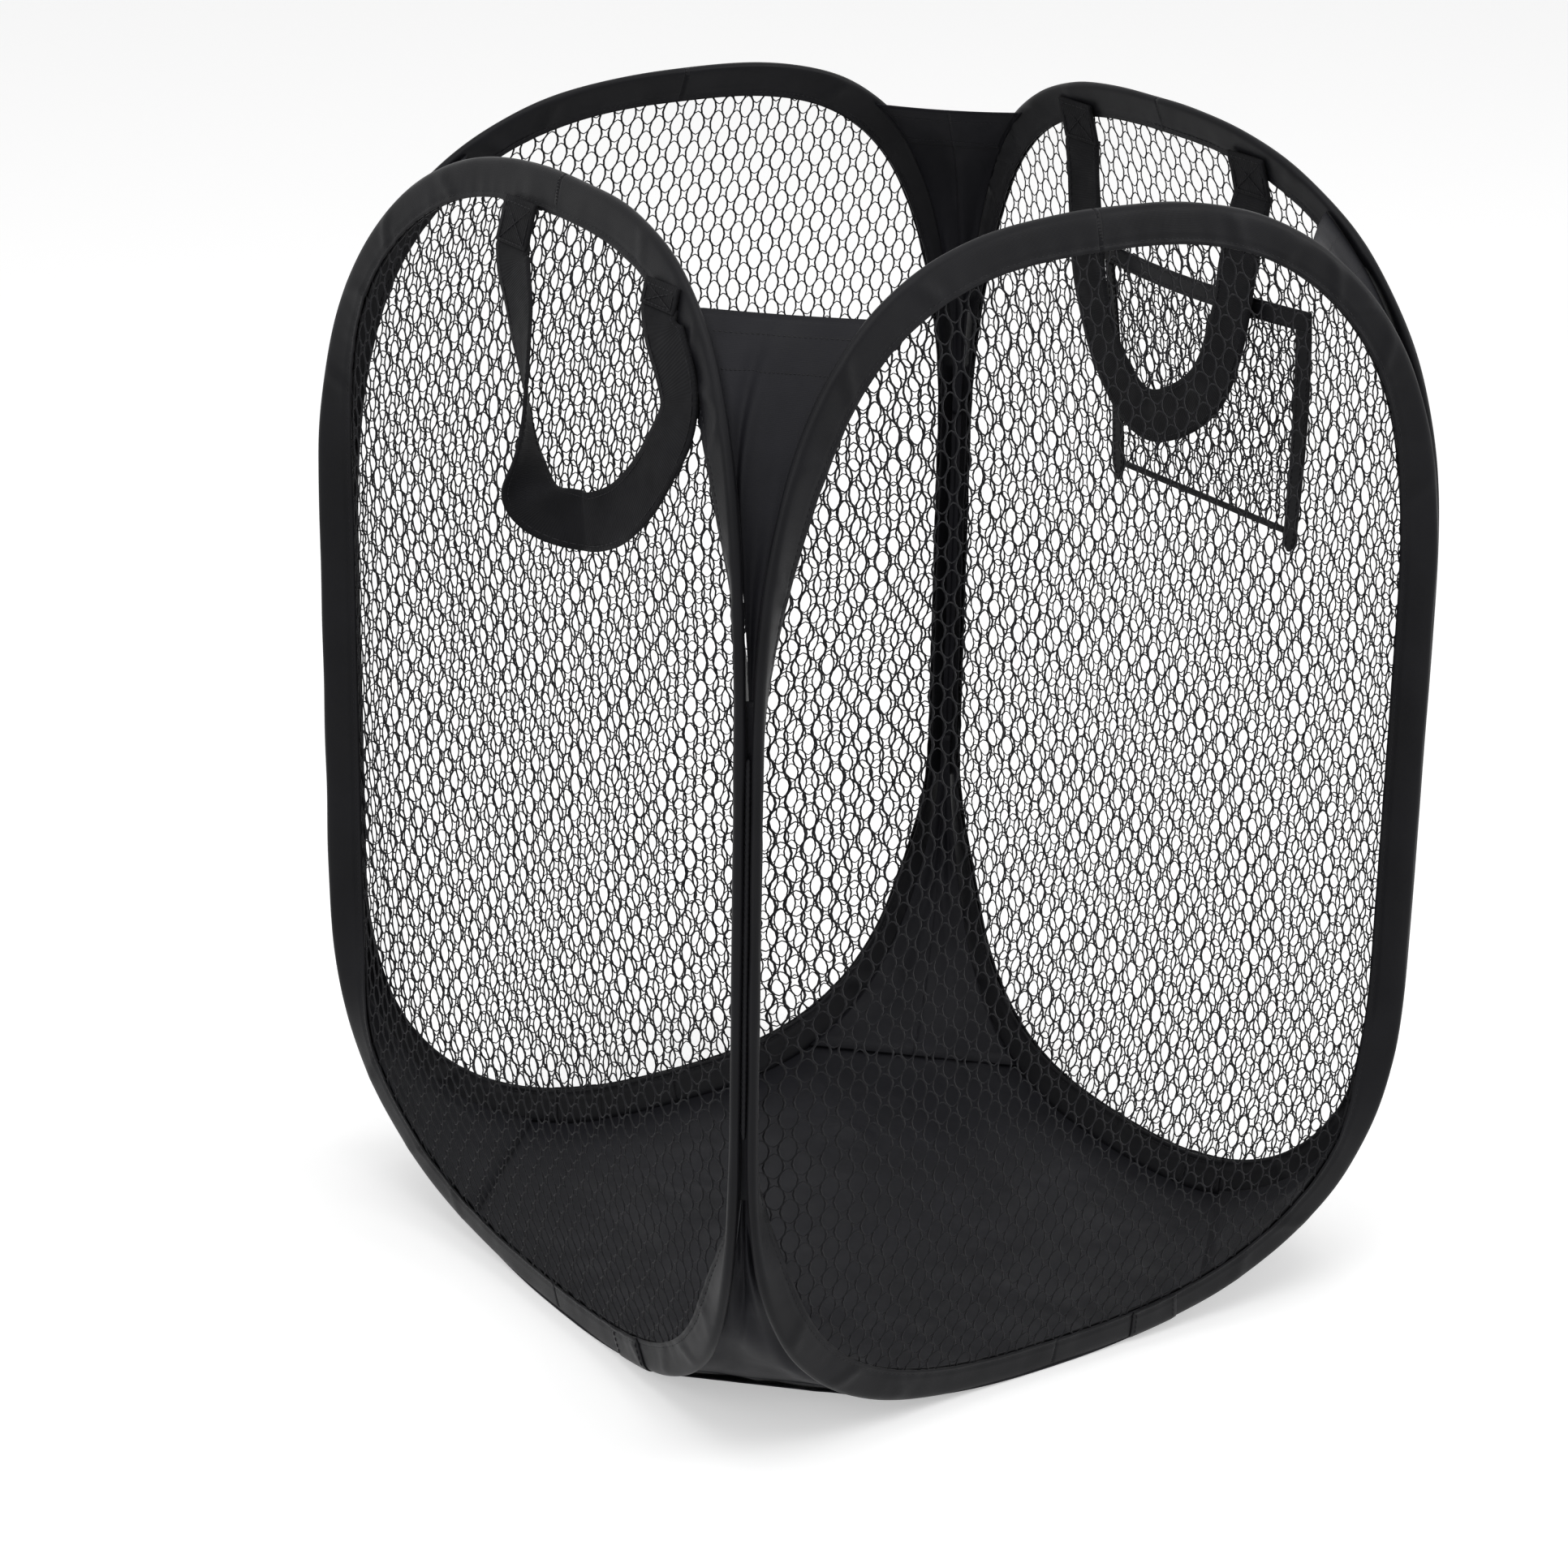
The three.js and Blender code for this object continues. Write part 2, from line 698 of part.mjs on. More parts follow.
// A narrow tie from the hoop's tape down to the pocket's corner.
function pocketTieGeometry() {
  const reach = pocketHalfWidth(pocketTop);
  const low = new THREE.Vector2(reach - tieWidth, pocketTop + clearance);
  const high = new THREE.Vector2(low.x + tieLean, pocketTop + tieReach);
  const shift = new THREE.Vector2(tieWidth, 0);
  const first = lineBetween(low, high, tieSteps);
  const second = lineBetween(low.clone().add(shift), high.clone().add(shift), tieSteps);
  return pocketStrip(first, second, ridgeHalf + clearance - netThickness / 2, pocketTapeThickness);
}

// Assembly

function mesh(name, geometry, material) {
  const piece = new THREE.Mesh(geometry, material);
  piece.name = name;
  return piece;
}

// Where each tape's end is lapped, in shares of the quarter from the bottom to the right side.
const lapShares = {
  front: [0.11, 0.19],
  right: [-0.24, -0.15],
  back: [0.11, 0.19],
  left: [0.15, 0.24],
};

function panelGroup(name) {
  const panel = new THREE.Group();
  panel.position.y = -panelPlane;
  panel.add(mesh(`${name}_hoop_wire`, wireGeometry(), makeSteel()));
  panel.add(mesh(`${name}_binding`, tapeGeometry(), makeTape()));
  panel.add(mesh(`${name}_binding_lap`, lapGeometry(...lapShares[name]), makeTape()));
  panel.add(mesh(`${name}_net`, netGeometry(), makeNet()));
  if (name === 'left') {
    panel.add(mesh('left_handle', outerHandleGeometry(), makeStrap()));
    const back = handleEndGeometry(outerHandleCentre - outerHandleSpan / 2, 1, handleEndHeight);
    const front = handleEndGeometry(outerHandleCentre + outerHandleSpan / 2, 1, shoulderEndHeight);
    panel.add(mesh('left_handle_end_back', back, makeStrap()));
    panel.add(mesh('left_handle_end_front', front, makeStrap()));
  }
  if (name === 'right') {
    panel.add(mesh('right_handle', innerHandleGeometry(), makeStrap()));
    const front = handleEndGeometry(innerHandleCentre - innerHandleSpan / 2, -1, handleEndHeight);
    const back = handleEndGeometry(innerHandleCentre + innerHandleSpan / 2, -1, handleEndHeight);
    panel.add(mesh('right_handle_end_front', front, makeStrap()));
    panel.add(mesh('right_handle_end_back', back, makeStrap()));
    panel.add(mesh('pocket_net', pocketNetGeometry(), makeNet()));
    panel.add(mesh('pocket_top_band', pocketBandGeometry(), makeTape()));
    panel.add(mesh('pocket_tape_front', pocketTapeGeometry(-1), makeTape()));
    panel.add(mesh('pocket_tape_back', pocketTapeGeometry(1), makeTape()));
    panel.add(mesh('pocket_bottom_seam', pocketSeamGeometry(), makeThread()));
    panel.add(mesh('pocket_tie', pocketTieGeometry(), makeTape()));
  }
  const turned = new THREE.Group();
  turned.rotation.z = sideAngle[name];
  turned.add(panel);
  return turned;
}

function cornerGroup(name) {
  const corner = new THREE.Group();
  corner.rotation.z = cornerAngle[name];
  corner.add(mesh(`${name}_gusset`, topGussetGeometry(), makeGusset()));
  corner.add(mesh(`${name}_gusset_hem`, hemGeometry(), makeGusset()));
  corner.add(mesh(`${name}_bottom_gusset`, bottomGussetGeometry(), makeGusset()));
  corner.add(mesh(`${name}_seam`, seamGeometry(), makeTape()));
  return corner;
}

const hamper = new THREE.Group();
for (const name of Object.keys(sideAngle)) hamper.add(panelGroup(name));
for (const name of Object.keys(cornerAngle)) hamper.add(cornerGroup(name));
hamper.add(mesh('bottom_panel', bottomGeometry(), makeGusset()));

export default hamper;
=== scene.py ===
# %% [markdown]
# A pop up laundry hamper is four tall oval hoops of spring wire. Each hoop is sewn into a folded nylon tape,
# filled with knitted net, and joined to its neighbours along the upright corners. Cloth gussets close the
# gaps that the round hoops leave, and a cloth bottom closes the base. Two straps and a net pocket are sewn
# on. The frame holds every piece as a plain solid. Here each is dressed as the cloth, tape or net that it is.

# %% Load the frame
import math

import bmesh
import bpy
import numpy as np
from mathutils import Matrix, Vector


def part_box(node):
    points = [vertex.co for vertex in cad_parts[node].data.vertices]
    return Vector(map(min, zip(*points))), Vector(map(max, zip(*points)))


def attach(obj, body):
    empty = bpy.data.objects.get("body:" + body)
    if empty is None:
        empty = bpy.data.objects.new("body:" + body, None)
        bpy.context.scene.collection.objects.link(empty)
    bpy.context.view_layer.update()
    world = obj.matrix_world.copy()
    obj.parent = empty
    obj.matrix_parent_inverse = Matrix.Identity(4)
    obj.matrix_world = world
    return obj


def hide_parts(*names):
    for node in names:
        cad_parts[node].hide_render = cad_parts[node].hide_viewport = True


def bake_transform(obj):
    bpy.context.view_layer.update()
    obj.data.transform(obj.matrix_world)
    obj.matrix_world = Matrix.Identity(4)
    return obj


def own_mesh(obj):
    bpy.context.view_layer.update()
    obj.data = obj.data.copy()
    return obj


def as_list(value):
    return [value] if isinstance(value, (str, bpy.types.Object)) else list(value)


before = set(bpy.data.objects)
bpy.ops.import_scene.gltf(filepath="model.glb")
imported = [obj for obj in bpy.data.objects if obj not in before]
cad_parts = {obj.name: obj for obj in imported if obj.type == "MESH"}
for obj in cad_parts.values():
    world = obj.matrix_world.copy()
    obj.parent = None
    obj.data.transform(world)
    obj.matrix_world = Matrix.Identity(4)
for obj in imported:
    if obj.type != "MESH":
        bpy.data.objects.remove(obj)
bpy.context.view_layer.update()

# %% [markdown]
# The camera comes first. It stands in front of the near corner, about two metres away and above the rim, with
# a long lens. The small shift puts the hamper where the photograph frames it, a little right of the middle.

# %% Camera
CAMERA_AZIMUTH = math.radians(-34.84)
CAMERA_ELEVATION = math.radians(21.67)
CAMERA_ROLL = math.radians(1.377)
CAMERA_DISTANCE = 2.0215
CAMERA_AIM = Vector((0, 0, 0.2328))
CAMERA_LENS = 95.98
CAMERA_SHIFT = (-0.04873, 0.00793)

camera_back = Vector((
    math.sin(CAMERA_AZIMUTH) * math.cos(CAMERA_ELEVATION),
    -math.cos(CAMERA_AZIMUTH) * math.cos(CAMERA_ELEVATION),
    math.sin(CAMERA_ELEVATION),
))
camera_data = bpy.data.cameras.new("camera")
camera_data.lens = CAMERA_LENS
camera_data.shift_x, camera_data.shift_y = CAMERA_SHIFT
camera = bpy.data.objects.new("camera", camera_data)
bpy.context.collection.objects.link(camera)
upright = camera_back.to_track_quat("Z", "Y").to_matrix().to_4x4()
camera.matrix_world = (
    Matrix.Translation(CAMERA_AIM + camera_back * CAMERA_DISTANCE)
    @ upright
    @ Matrix.Rotation(CAMERA_ROLL, 4, "Z")
)
bpy.context.scene.camera = camera
print("camera at", [round(value, 3) for value in camera.matrix_world.translation])

# %% [markdown]
# The studio is a white sweep with soft light from all round and large lamps above. The floor is lit by the
# same lamps as the hamper, and a little of its own light is added only where the camera looks straight at it,
# so it reads as white while the hamper's shadow stays on it.

# %% World and floor
FLOOR_SIZE = 9
FLOOR_DROP = 0.0004
FLOOR_COLOUR = (0.78, 0.78, 0.78, 1)
FLOOR_ROUGHNESS = 0.9
FLOOR_SHINE = 0.1
FLOOR_GLOW = 0.42
WORLD_LIGHT = 0.55
WHITE = (1, 1, 1, 1)


def seen_directly(nodes, links):
    """One where the camera, a reflection or clear material looks at the surface, and zero for other light."""
    path = nodes.new("ShaderNodeLightPath")
    either = nodes.new("ShaderNodeMath")
    either.operation = "MAXIMUM"
    links.new(path.outputs["Is Camera Ray"], either.inputs[0])
    links.new(path.outputs["Is Glossy Ray"], either.inputs[1])
    result = nodes.new("ShaderNodeMath")
    result.operation = "MAXIMUM"
    links.new(either.outputs[0], result.inputs[0])
    links.new(path.outputs["Is Transmission Ray"], result.inputs[1])
    return result.outputs[0]


def make_world():
    world = bpy.data.worlds.new("studio")
    world.use_nodes = True
    bpy.context.scene.world = world
    nodes, links = world.node_tree.nodes, world.node_tree.links
    background = nodes["Background"]
    background.inputs["Color"].default_value = WHITE
    strength = nodes.new("ShaderNodeMapRange")
    strength.inputs["To Min"].default_value = WORLD_LIGHT
    strength.inputs["To Max"].default_value = 1
    links.new(seen_directly(nodes, links), strength.inputs["Value"])
    links.new(strength.outputs["Result"], background.inputs["Strength"])


def make_floor():
    mesh = bpy.data.meshes.new("floor")
    bm = bmesh.new()
    bmesh.ops.create_grid(bm, x_segments=1, y_segments=1, size=FLOOR_SIZE / 2)
    bm.to_mesh(mesh)
    bm.free()
    floor = bpy.data.objects.new("floor", mesh)
    bpy.context.collection.objects.link(floor)
    floor.location.z = -FLOOR_DROP
    material = bpy.data.materials.new("studio floor")
    material.use_nodes = True
    nodes, links = material.node_tree.nodes, material.node_tree.links
    shader = nodes["Principled BSDF"]
    shader.inputs["Base Color"].default_value = FLOOR_COLOUR
    shader.inputs["Roughness"].default_value = FLOOR_ROUGHNESS
    shader.inputs["Specular IOR Level"].default_value = FLOOR_SHINE
    shader.inputs["Emission Color"].default_value = WHITE
    glow = nodes.new("ShaderNodeMath")
    glow.operation = "MULTIPLY"
    glow.inputs[1].default_value = FLOOR_GLOW
    links.new(seen_directly(nodes, links), glow.inputs[0])
    links.new(glow.outputs[0], shader.inputs["Emission Strength"])
    mesh.materials.append(material)


make_world()
make_floor()
print("white world at", WORLD_LIGHT, "and a floor", FLOOR_SIZE, "metres wide")

# %% [markdown]
# Three large round lamps stand above and to both sides. Large lamps make the soft wide highlights that black
# nylon shows along its folds, and shadows without hard edges.

# %% Lamps
LAMPS = {
    "top lamp": {"place": (-0.3, -0.5, 2.6), "aim": (0, 0, 0.2), "size": 2.2, "power": 26},
    "right lamp": {"place": (2.3, -1.5, 1.5), "aim": (0, 0, 0.35), "size": 1.1, "power": 20},
    "left lamp": {"place": (-2.2, -0.9, 1.7), "aim": (0, 0, 0.35), "size": 1.3, "power": 14},
}


def area_lamp(name, place, aim, size, power):
    data = bpy.data.lights.new(name, "AREA")
    data.shape = "DISK"
    data.size = size
    data.energy = power
    lamp = bpy.data.objects.new(name, data)
    bpy.context.collection.objects.link(lamp)
    lamp.location = place
    lamp.rotation_euler = (Vector(aim) - Vector(place)).to_track_quat("-Z", "Y").to_euler()


for lamp_name, lamp in LAMPS.items():
    area_lamp(lamp_name, **lamp)
bpy.context.scene.view_settings.view_transform = "Standard"
print(len(LAMPS), "lamps")

# %% [markdown]
# The sizes are read off the frame where it has them. The hoop is an oval with straight sides and squarish
# rounds, and each panel leans in towards its top and bottom, which gives the hamper its barrel shape.

# %% Sizes of the hoops
RIDGE_HALF = 0.0022
WIDEST_HEIGHT = 0.255
TOP_LEAN = 0.027
BOTTOM_LEAN = 0.024
LEAN_START_SHARE = 0.35
LEAN_POWER = 2.6
STRAIGHT_SHARE = 0.3
TOP_ROUND_SHARE = 2.62
BOTTOM_ROUND_SHARE = 2.6
hoop_low, hoop_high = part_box("front_binding")
HEIGHT = hoop_high[2]
HALF_WIDTH = hoop_high[0]
PANEL_PLANE = -hoop_low[1] - RIDGE_HALF
SIDES = {"front": 0, "right": 90, "back": 180, "left": -90}
CORNERS = {"front_left": 0, "front_right": 90, "back_right": 180, "back_left": -90}
print("hoop", round(HEIGHT, 4), "tall,", round(2 * HALF_WIDTH, 4), "wide, plane at", round(PANEL_PLANE, 4))

# %% [markdown]
# Everything on a panel is placed by three values: across the panel, up, and out from its middle surface. One
# function turns them into points of the hamper's own frame, so tape, net and handles all follow the same
# lean. The functions take whole arrays of places at once, which is much quicker than one point at a time.

# %% Places on a panel


def smooth(value):
    value = np.clip(value, 0, 1)
    return value * value * (3 - 2 * value)


def mix(first, second, share):
    return first + (second - first) * share


def lean_at(up):
    above = up > WIDEST_HEIGHT
    half = np.where(above, HEIGHT - WIDEST_HEIGHT, WIDEST_HEIGHT)
    over = np.maximum(0, np.abs(up - WIDEST_HEIGHT) / half - LEAN_START_SHARE) / (1 - LEAN_START_SHARE)
    return np.where(above, TOP_LEAN, BOTTOM_LEAN) * over**LEAN_POWER


def turned(x, y, up, angle):
    """Points from their places before the whole piece is turned about the hamper's upright middle line."""
    cosine, sine = math.cos(math.radians(angle)), math.sin(math.radians(angle))
    x, y, up = np.broadcast_arrays(x, y, up)
    return np.stack((x * cosine - y * sine, x * sine + y * cosine, up), axis=-1)


def on_panel(side, across, up, out):
    return turned(across, lean_at(up) - out - PANEL_PLANE, up, SIDES[side])


print("the panels lean in by", float(lean_at(np.array(HEIGHT))), "at the top")

# %% [markdown]
# The oval is worked out quarter by quarter as a squarish ellipse, and then measured, so that a piece can ask
# for the point at any share of its length. Even steps along the tape keep its weave and stitches even.

# %% The hoop's line
QUARTER_STEPS = 140
END_CROWDING = 1.3
TANGENT_STEP = 0.004


def quarter_line(direction):
    share = np.linspace(0, 1, QUARTER_STEPS + 1)
    crowded = share**END_CROWDING
    angle = math.pi / 2 * crowded / (crowded + (1 - share) ** END_CROWDING)
    power = 2 / (TOP_ROUND_SHARE if direction > 0 else BOTTOM_ROUND_SHARE)
    half = HEIGHT - WIDEST_HEIGHT if direction > 0 else WIDEST_HEIGHT
    rise = STRAIGHT_SHARE + (1 - STRAIGHT_SHARE) * np.sin(angle) ** power
    across = HALF_WIDTH * np.maximum(0, np.cos(angle)) ** power
    return np.stack((across, WIDEST_HEIGHT + direction * rise * half), axis=1)


right_half = np.vstack((quarter_line(-1)[::-1], quarter_line(1)))
left_half = right_half[::-1] * (-1, 1)
hoop_line = np.vstack((right_half, left_half[1:]))
steps = np.linalg.norm(np.diff(hoop_line, axis=0), axis=1)
hoop_shares = np.concatenate(([0], np.cumsum(steps)))
HOOP_LENGTH = float(hoop_shares[-1])
hoop_shares /= HOOP_LENGTH


def hoop_point(share):
    """Points at shares of the hoop's length, from the middle of its bottom and first to the right."""
    share = np.mod(share, 1)
    across = np.interp(share, hoop_shares, hoop_line[:, 0])
    return np.stack((across, np.interp(share, hoop_shares, hoop_line[:, 1])), axis=-1)


def hoop_at(share):
    """Points of the hoop's edge, and the direction that leads into the panel there."""
    along = hoop_point(share + TANGENT_STEP) - hoop_point(share - TANGENT_STEP)
    inward = np.stack((-along[..., 1], along[..., 0]), axis=-1)
    return hoop_point(share), inward / np.linalg.norm(inward, axis=-1, keepdims=True)


def edge_at(up):
    """How far across the hoop's edge is at a height."""
    return np.interp(up, right_half[:, 1], right_half[:, 0])


print("hoop length", round(HOOP_LENGTH, 3), "metres")

# %% [markdown]
# Cloth is never quite even. A few crossing sine waves of nearly the same length make a soft uneven value,
# which is the same each time the script runs. It lifts the tape, draws the net out of line and wrinkles the
# gussets, always by a small amount.

# %% Unevenness
WAVE_COUNT = 7
WAVE_PACES = (0.7, 1.4)


def uneven_at(places, size, seed):
    """A smooth value, mostly between minus one and one, that changes over about this size."""
    source = np.random.default_rng(seed)
    total = 0
    for _ in range(WAVE_COUNT):
        direction = source.normal(size=places.shape[-1])
        direction /= np.linalg.norm(direction)
        pace = 2 * math.pi / size * source.uniform(*WAVE_PACES)
        total = total + np.sin(places @ direction * pace + source.uniform(0, 2 * math.pi))
    return total / math.sqrt(2 * WAVE_COUNT)


three_places = np.array([[0.0, 0.0], [0.1, 0.0], [0.2, 0.3]])
print("unevenness at three places", uneven_at(three_places, 0.1, 1).round(2))

# %% [markdown]
# Black nylon never shows as one flat black. The woven cloth has a fine grid of threads that catches the
# light, a soft uneven sheen and slightly faded folds. The weave is drawn on the piece's own UV map, which is
# in metres, so the threads run along the tape on every piece. The straps are coarser and duller, and the
# net's yarn has a fine twist. All of them are made from the same few groups of shader nodes.

# %% Helpers for the materials
WAVE_PERIOD = math.pi / 10
NOISE_DETAIL = 4
NOISE_LOW, NOISE_HIGH = 0.3, 0.7


def start_material(name, colour, sockets):
    """A new material, with the values that are the same all over set on the shader's own sockets."""
    material = bpy.data.materials.new(name)
    material.use_nodes = True
    nodes, links = material.node_tree.nodes, material.node_tree.links
    shader = nodes["Principled BSDF"]
    shader.inputs["Base Color"].default_value = (*colour, 1)
    for socket, value in sockets.items():
        shader.inputs[socket].default_value = value
    return material, nodes, links, shader


def stripes(nodes, links, source, direction, pitch):
    wave = nodes.new("ShaderNodeTexWave")
    wave.bands_direction = direction
    wave.inputs["Scale"].default_value = WAVE_PERIOD / pitch
    links.new(source, wave.inputs["Vector"])
    return wave.outputs["Fac"]


def uneven(nodes, links, source, scale, low, high):
    """A slowly changing value between low and high."""
    cloud = nodes.new("ShaderNodeTexNoise")
    cloud.inputs["Scale"].default_value = scale
    cloud.inputs["Detail"].default_value = NOISE_DETAIL
    links.new(source, cloud.inputs["Vector"])
    spread = nodes.new("ShaderNodeMapRange")
    limits = {"From Min": NOISE_LOW, "From Max": NOISE_HIGH, "To Min": low, "To Max": high}
    for socket, value in limits.items():
        spread.inputs[socket].default_value = value
    links.new(cloud.outputs["Fac"], spread.inputs["Value"])
    return spread.outputs["Result"]


def shade_between(nodes, links, factor, dark, light):
    blend = nodes.new("ShaderNodeMix")
    blend.data_type = "RGBA"
    blend.inputs["A"].default_value = (*dark, 1)
    blend.inputs["B"].default_value = (*light, 1)
    links.new(factor, blend.inputs["Factor"])
    return blend.outputs["Result"]


def bump_from(nodes, links, height, strength, distance):
    bump = nodes.new("ShaderNodeBump")
    bump.inputs["Strength"].default_value = strength
    bump.inputs["Distance"].default_value = distance
    links.new(height, bump.inputs["Height"])
    return bump.outputs["Normal"]


def joined(nodes, links, first, second, operation):
    both = nodes.new("ShaderNodeMath")
    both.operation = operation
    links.new(first, both.inputs[0])
    links.new(second, both.inputs[1])
    return both.outputs[0]


print("stripes, uneven patches, two shades and bumps are ready for the finishes")

# %% [markdown]
# Each finish is a short table: two shades, a pitch of the threads, the scale of its faded patches and of its
# worn ones, and the strength and depth of its bumps. The tape is smoother than the gussets' cloth, and the
# strap has ribs across it only.

# %% Woven cloth and strap
THREAD_PITCH = 0.0005
RIB_PITCH = 0.0011
CLOTH_FINISHES = {
    "binding_tape": {
        "name": "black tape", "dark": (0.0036, 0.0036, 0.0046), "light": (0.0066, 0.0066, 0.0083),
        "roughness": (0.36, 0.5), "pitches": {"X": THREAD_PITCH, "Y": THREAD_PITCH},
        "bump": (0.35, 0.00012), "patches": 26, "wear": 40,
        "sockets": {"Sheen Weight": 0.015, "Sheen Roughness": 0.4, "Specular IOR Level": 0.13},
    },
    "gusset_cloth": {
        "name": "black cloth", "dark": (0.0056, 0.0056, 0.0074), "light": (0.0095, 0.0095, 0.0124),
        "roughness": (0.45, 0.6), "pitches": {"X": THREAD_PITCH, "Y": THREAD_PITCH},
        "bump": (0.35, 0.00012), "patches": 26, "wear": 40,
        "sockets": {"Sheen Weight": 0.015, "Sheen Roughness": 0.4, "Specular IOR Level": 0.13},
    },
    "strap": {
        "name": "black strap", "dark": (0.0035, 0.0035, 0.0042), "light": (0.0065, 0.0065, 0.0078),
        "roughness": (0.6, 0.78), "pitches": {"X": RIB_PITCH},
        "bump": (0.5, 0.0002), "patches": 60, "wear": 90,
        "sockets": {"Sheen Weight": 0.02, "Specular IOR Level": 0.1},
    },
}


def cloth_finish(name, dark, light, roughness, pitches, bump, patches, wear, sockets):
    """Cloth with threads along its own UV map, two shades in patches, and a gloss that wanders."""
    material, nodes, links, shader = start_material(name, dark, sockets)
    place = nodes.new("ShaderNodeTexCoord")
    weave = None
    for direction, pitch in pitches.items():
        threads = stripes(nodes, links, place.outputs["UV"], direction, pitch)
        weave = threads if weave is None else joined(nodes, links, weave, threads, "MULTIPLY")
    faded = uneven(nodes, links, place.outputs["Object"], patches, 0, 1)
    links.new(shade_between(nodes, links, faded, dark, light), shader.inputs["Base Color"])
    links.new(uneven(nodes, links, place.outputs["Object"], wear, *roughness), shader.inputs["Roughness"])
    links.new(bump_from(nodes, links, weave, *bump), shader.inputs["Normal"])
    return material


MATERIALS = {slot: cloth_finish(**finish) for slot, finish in CLOTH_FINISHES.items()}
print(", ".join(material.name for material in MATERIALS.values()))

# %% [markdown]
# Yarn and thread have no weave. Their strands are a fine cloud pattern that darkens and roughens them, at a
# scale that the eye reads as twist. The spring wire is bare steel with fine scratches.

# %% Yarn, thread and steel
YARN_FINISHES = {
    "net": {
        "name": "black net yarn", "dark": (0.006, 0.006, 0.0072), "light": (0.017, 0.017, 0.0195),
        "twist": 900, "bump": (0.4, 0.0001),
        "sockets": {"Roughness": 0.6, "Sheen Weight": 0.04, "Specular IOR Level": 0.12},
    },
    "thread": {
        "name": "black thread", "dark": (0.004, 0.004, 0.005), "light": (0.011, 0.011, 0.013),
        "twist": 1500, "bump": (0.3, 0.0001),
        "sockets": {"Roughness": 0.55, "Specular IOR Level": 0.2},
    },
}
STEEL_COLOUR = (0.46, 0.47, 0.49)
STEEL_SCRATCHES = 300
STEEL_ROUGHNESS = (0.24, 0.42)


def yarn_finish(name, dark, light, twist, bump, sockets):
    material, nodes, links, shader = start_material(name, dark, sockets)
    place = nodes.new("ShaderNodeTexCoord")
    strands = uneven(nodes, links, place.outputs["Object"], twist, 0, 1)
    links.new(shade_between(nodes, links, strands, dark, light), shader.inputs["Base Color"])
    links.new(bump_from(nodes, links, strands, *bump), shader.inputs["Normal"])
    return material


def spring_steel():
    material, nodes, links, shader = start_material("spring steel", STEEL_COLOUR, {"Metallic": 1})
    place = nodes.new("ShaderNodeTexCoord")
    scratches = uneven(nodes, links, place.outputs["Object"], STEEL_SCRATCHES, *STEEL_ROUGHNESS)
    links.new(scratches, shader.inputs["Roughness"])
    return material


for yarn_slot, finish in YARN_FINISHES.items():
    MATERIALS[yarn_slot] = yarn_finish(**finish)
MATERIALS["spring_wire"] = spring_steel()
print(len(MATERIALS), "materials")

# %% [markdown]
# At the upright corners the tapes of two hoops are sewn back to back, so both turn in towards the middle of
# the hamper and lie along the corner's diagonal. Seen from in front of a corner they make one narrow band.
# The turn grows from nothing at the rounds, where each tape lies flat in its own panel. The back right corner
# turns less, because nothing there lets the two bands bend together when the hamper folds.

# %% How the tapes turn in at the corners
TAPE_WIDTH = 0.017
FLANK = TAPE_WIDTH - RIDGE_HALF
OPEN_CORNER = "back_right"
FULL_TURN = math.radians(52)
OPEN_TURN = math.radians(26)
OPEN_NARROWING = 0.2
TURN_LOW, TURN_LOW_SPAN = 0.07, 0.09
TURN_HIGH, TURN_HIGH_SPAN = 0.495, 0.15
NET_DRAW = 0.075
MEETING = {
    "front_left": ("left", "front"), "front_right": ("front", "right"),
    "back_right": ("right", "back"), "back_left": ("back", "left"),
}
CORNER_OF = {}
for corner, (left_hand, right_hand) in MEETING.items():
    CORNER_OF[left_hand, 1] = corner
    CORNER_OF[right_hand, -1] = corner
HALVES = [(side, hand, seed) for seed, side in enumerate(SIDES) for hand in (1, -1)]


def bend_at(corner, up):
    """How far the tape turns in at a height, and the share of its width that it keeps there."""
    share = smooth((up - TURN_LOW) / TURN_LOW_SPAN) * smooth((TURN_HIGH - up) / TURN_HIGH_SPAN)
    if corner == OPEN_CORNER:
        return OPEN_TURN * share, 1 - OPEN_NARROWING * share
    return FULL_TURN * share, 1 + 0 * share


def turn_about_wire(depth, out, bend):
    """A place in the tape, by its depth from the hoop's edge, after the tape turns in about its wire."""
    turn, kept_width = bend
    reach = (depth - RIDGE_HALF) * kept_width
    inner = RIDGE_HALF + reach * np.cos(turn) + out * np.sin(turn)
    return inner, out * np.cos(turn) - reach * np.sin(turn)


def draw_net(depth, out, bend):
    """The net follows the turned tape, and beyond it comes back to its panel in a shallow curve."""
    turn, kept_width = bend
    reach = depth - RIDGE_HALF
    inner, turned_out = turn_about_wire(depth, out, bend)
    fade = (1 - np.clip((reach - FLANK) / NET_DRAW, 0, 1)) ** 2
    drawn_depth = depth - FLANK * (1 - kept_width * np.cos(turn)) * fade
    drawn_out = out - FLANK * kept_width * np.sin(turn) * fade
    return np.where(reach < FLANK, inner, drawn_depth), np.where(reach < FLANK, turned_out, drawn_out)


print(
    "full turn", round(math.degrees(FULL_TURN)), "degrees, at the back right corner",
    round(math.degrees(OPEN_TURN)),
)

# %% [markdown]
# When the hamper folds, two panels swing about their shared corner, and everything sewn across the corner
# bends with both. So each panel's tape and net are made as two halves. One helper finishes every piece: its
# material, smooth shading, its body unless it lies across one of the three joined corners or on a strap's
# hinge, and the solid that it stands for, which it hides.

# %% Finishing a piece
BEND_REACH = 0.034
CORNER_PLACE = 0.1875
THREE_JOINED = [corner for corner in CORNERS if corner != OPEN_CORNER]


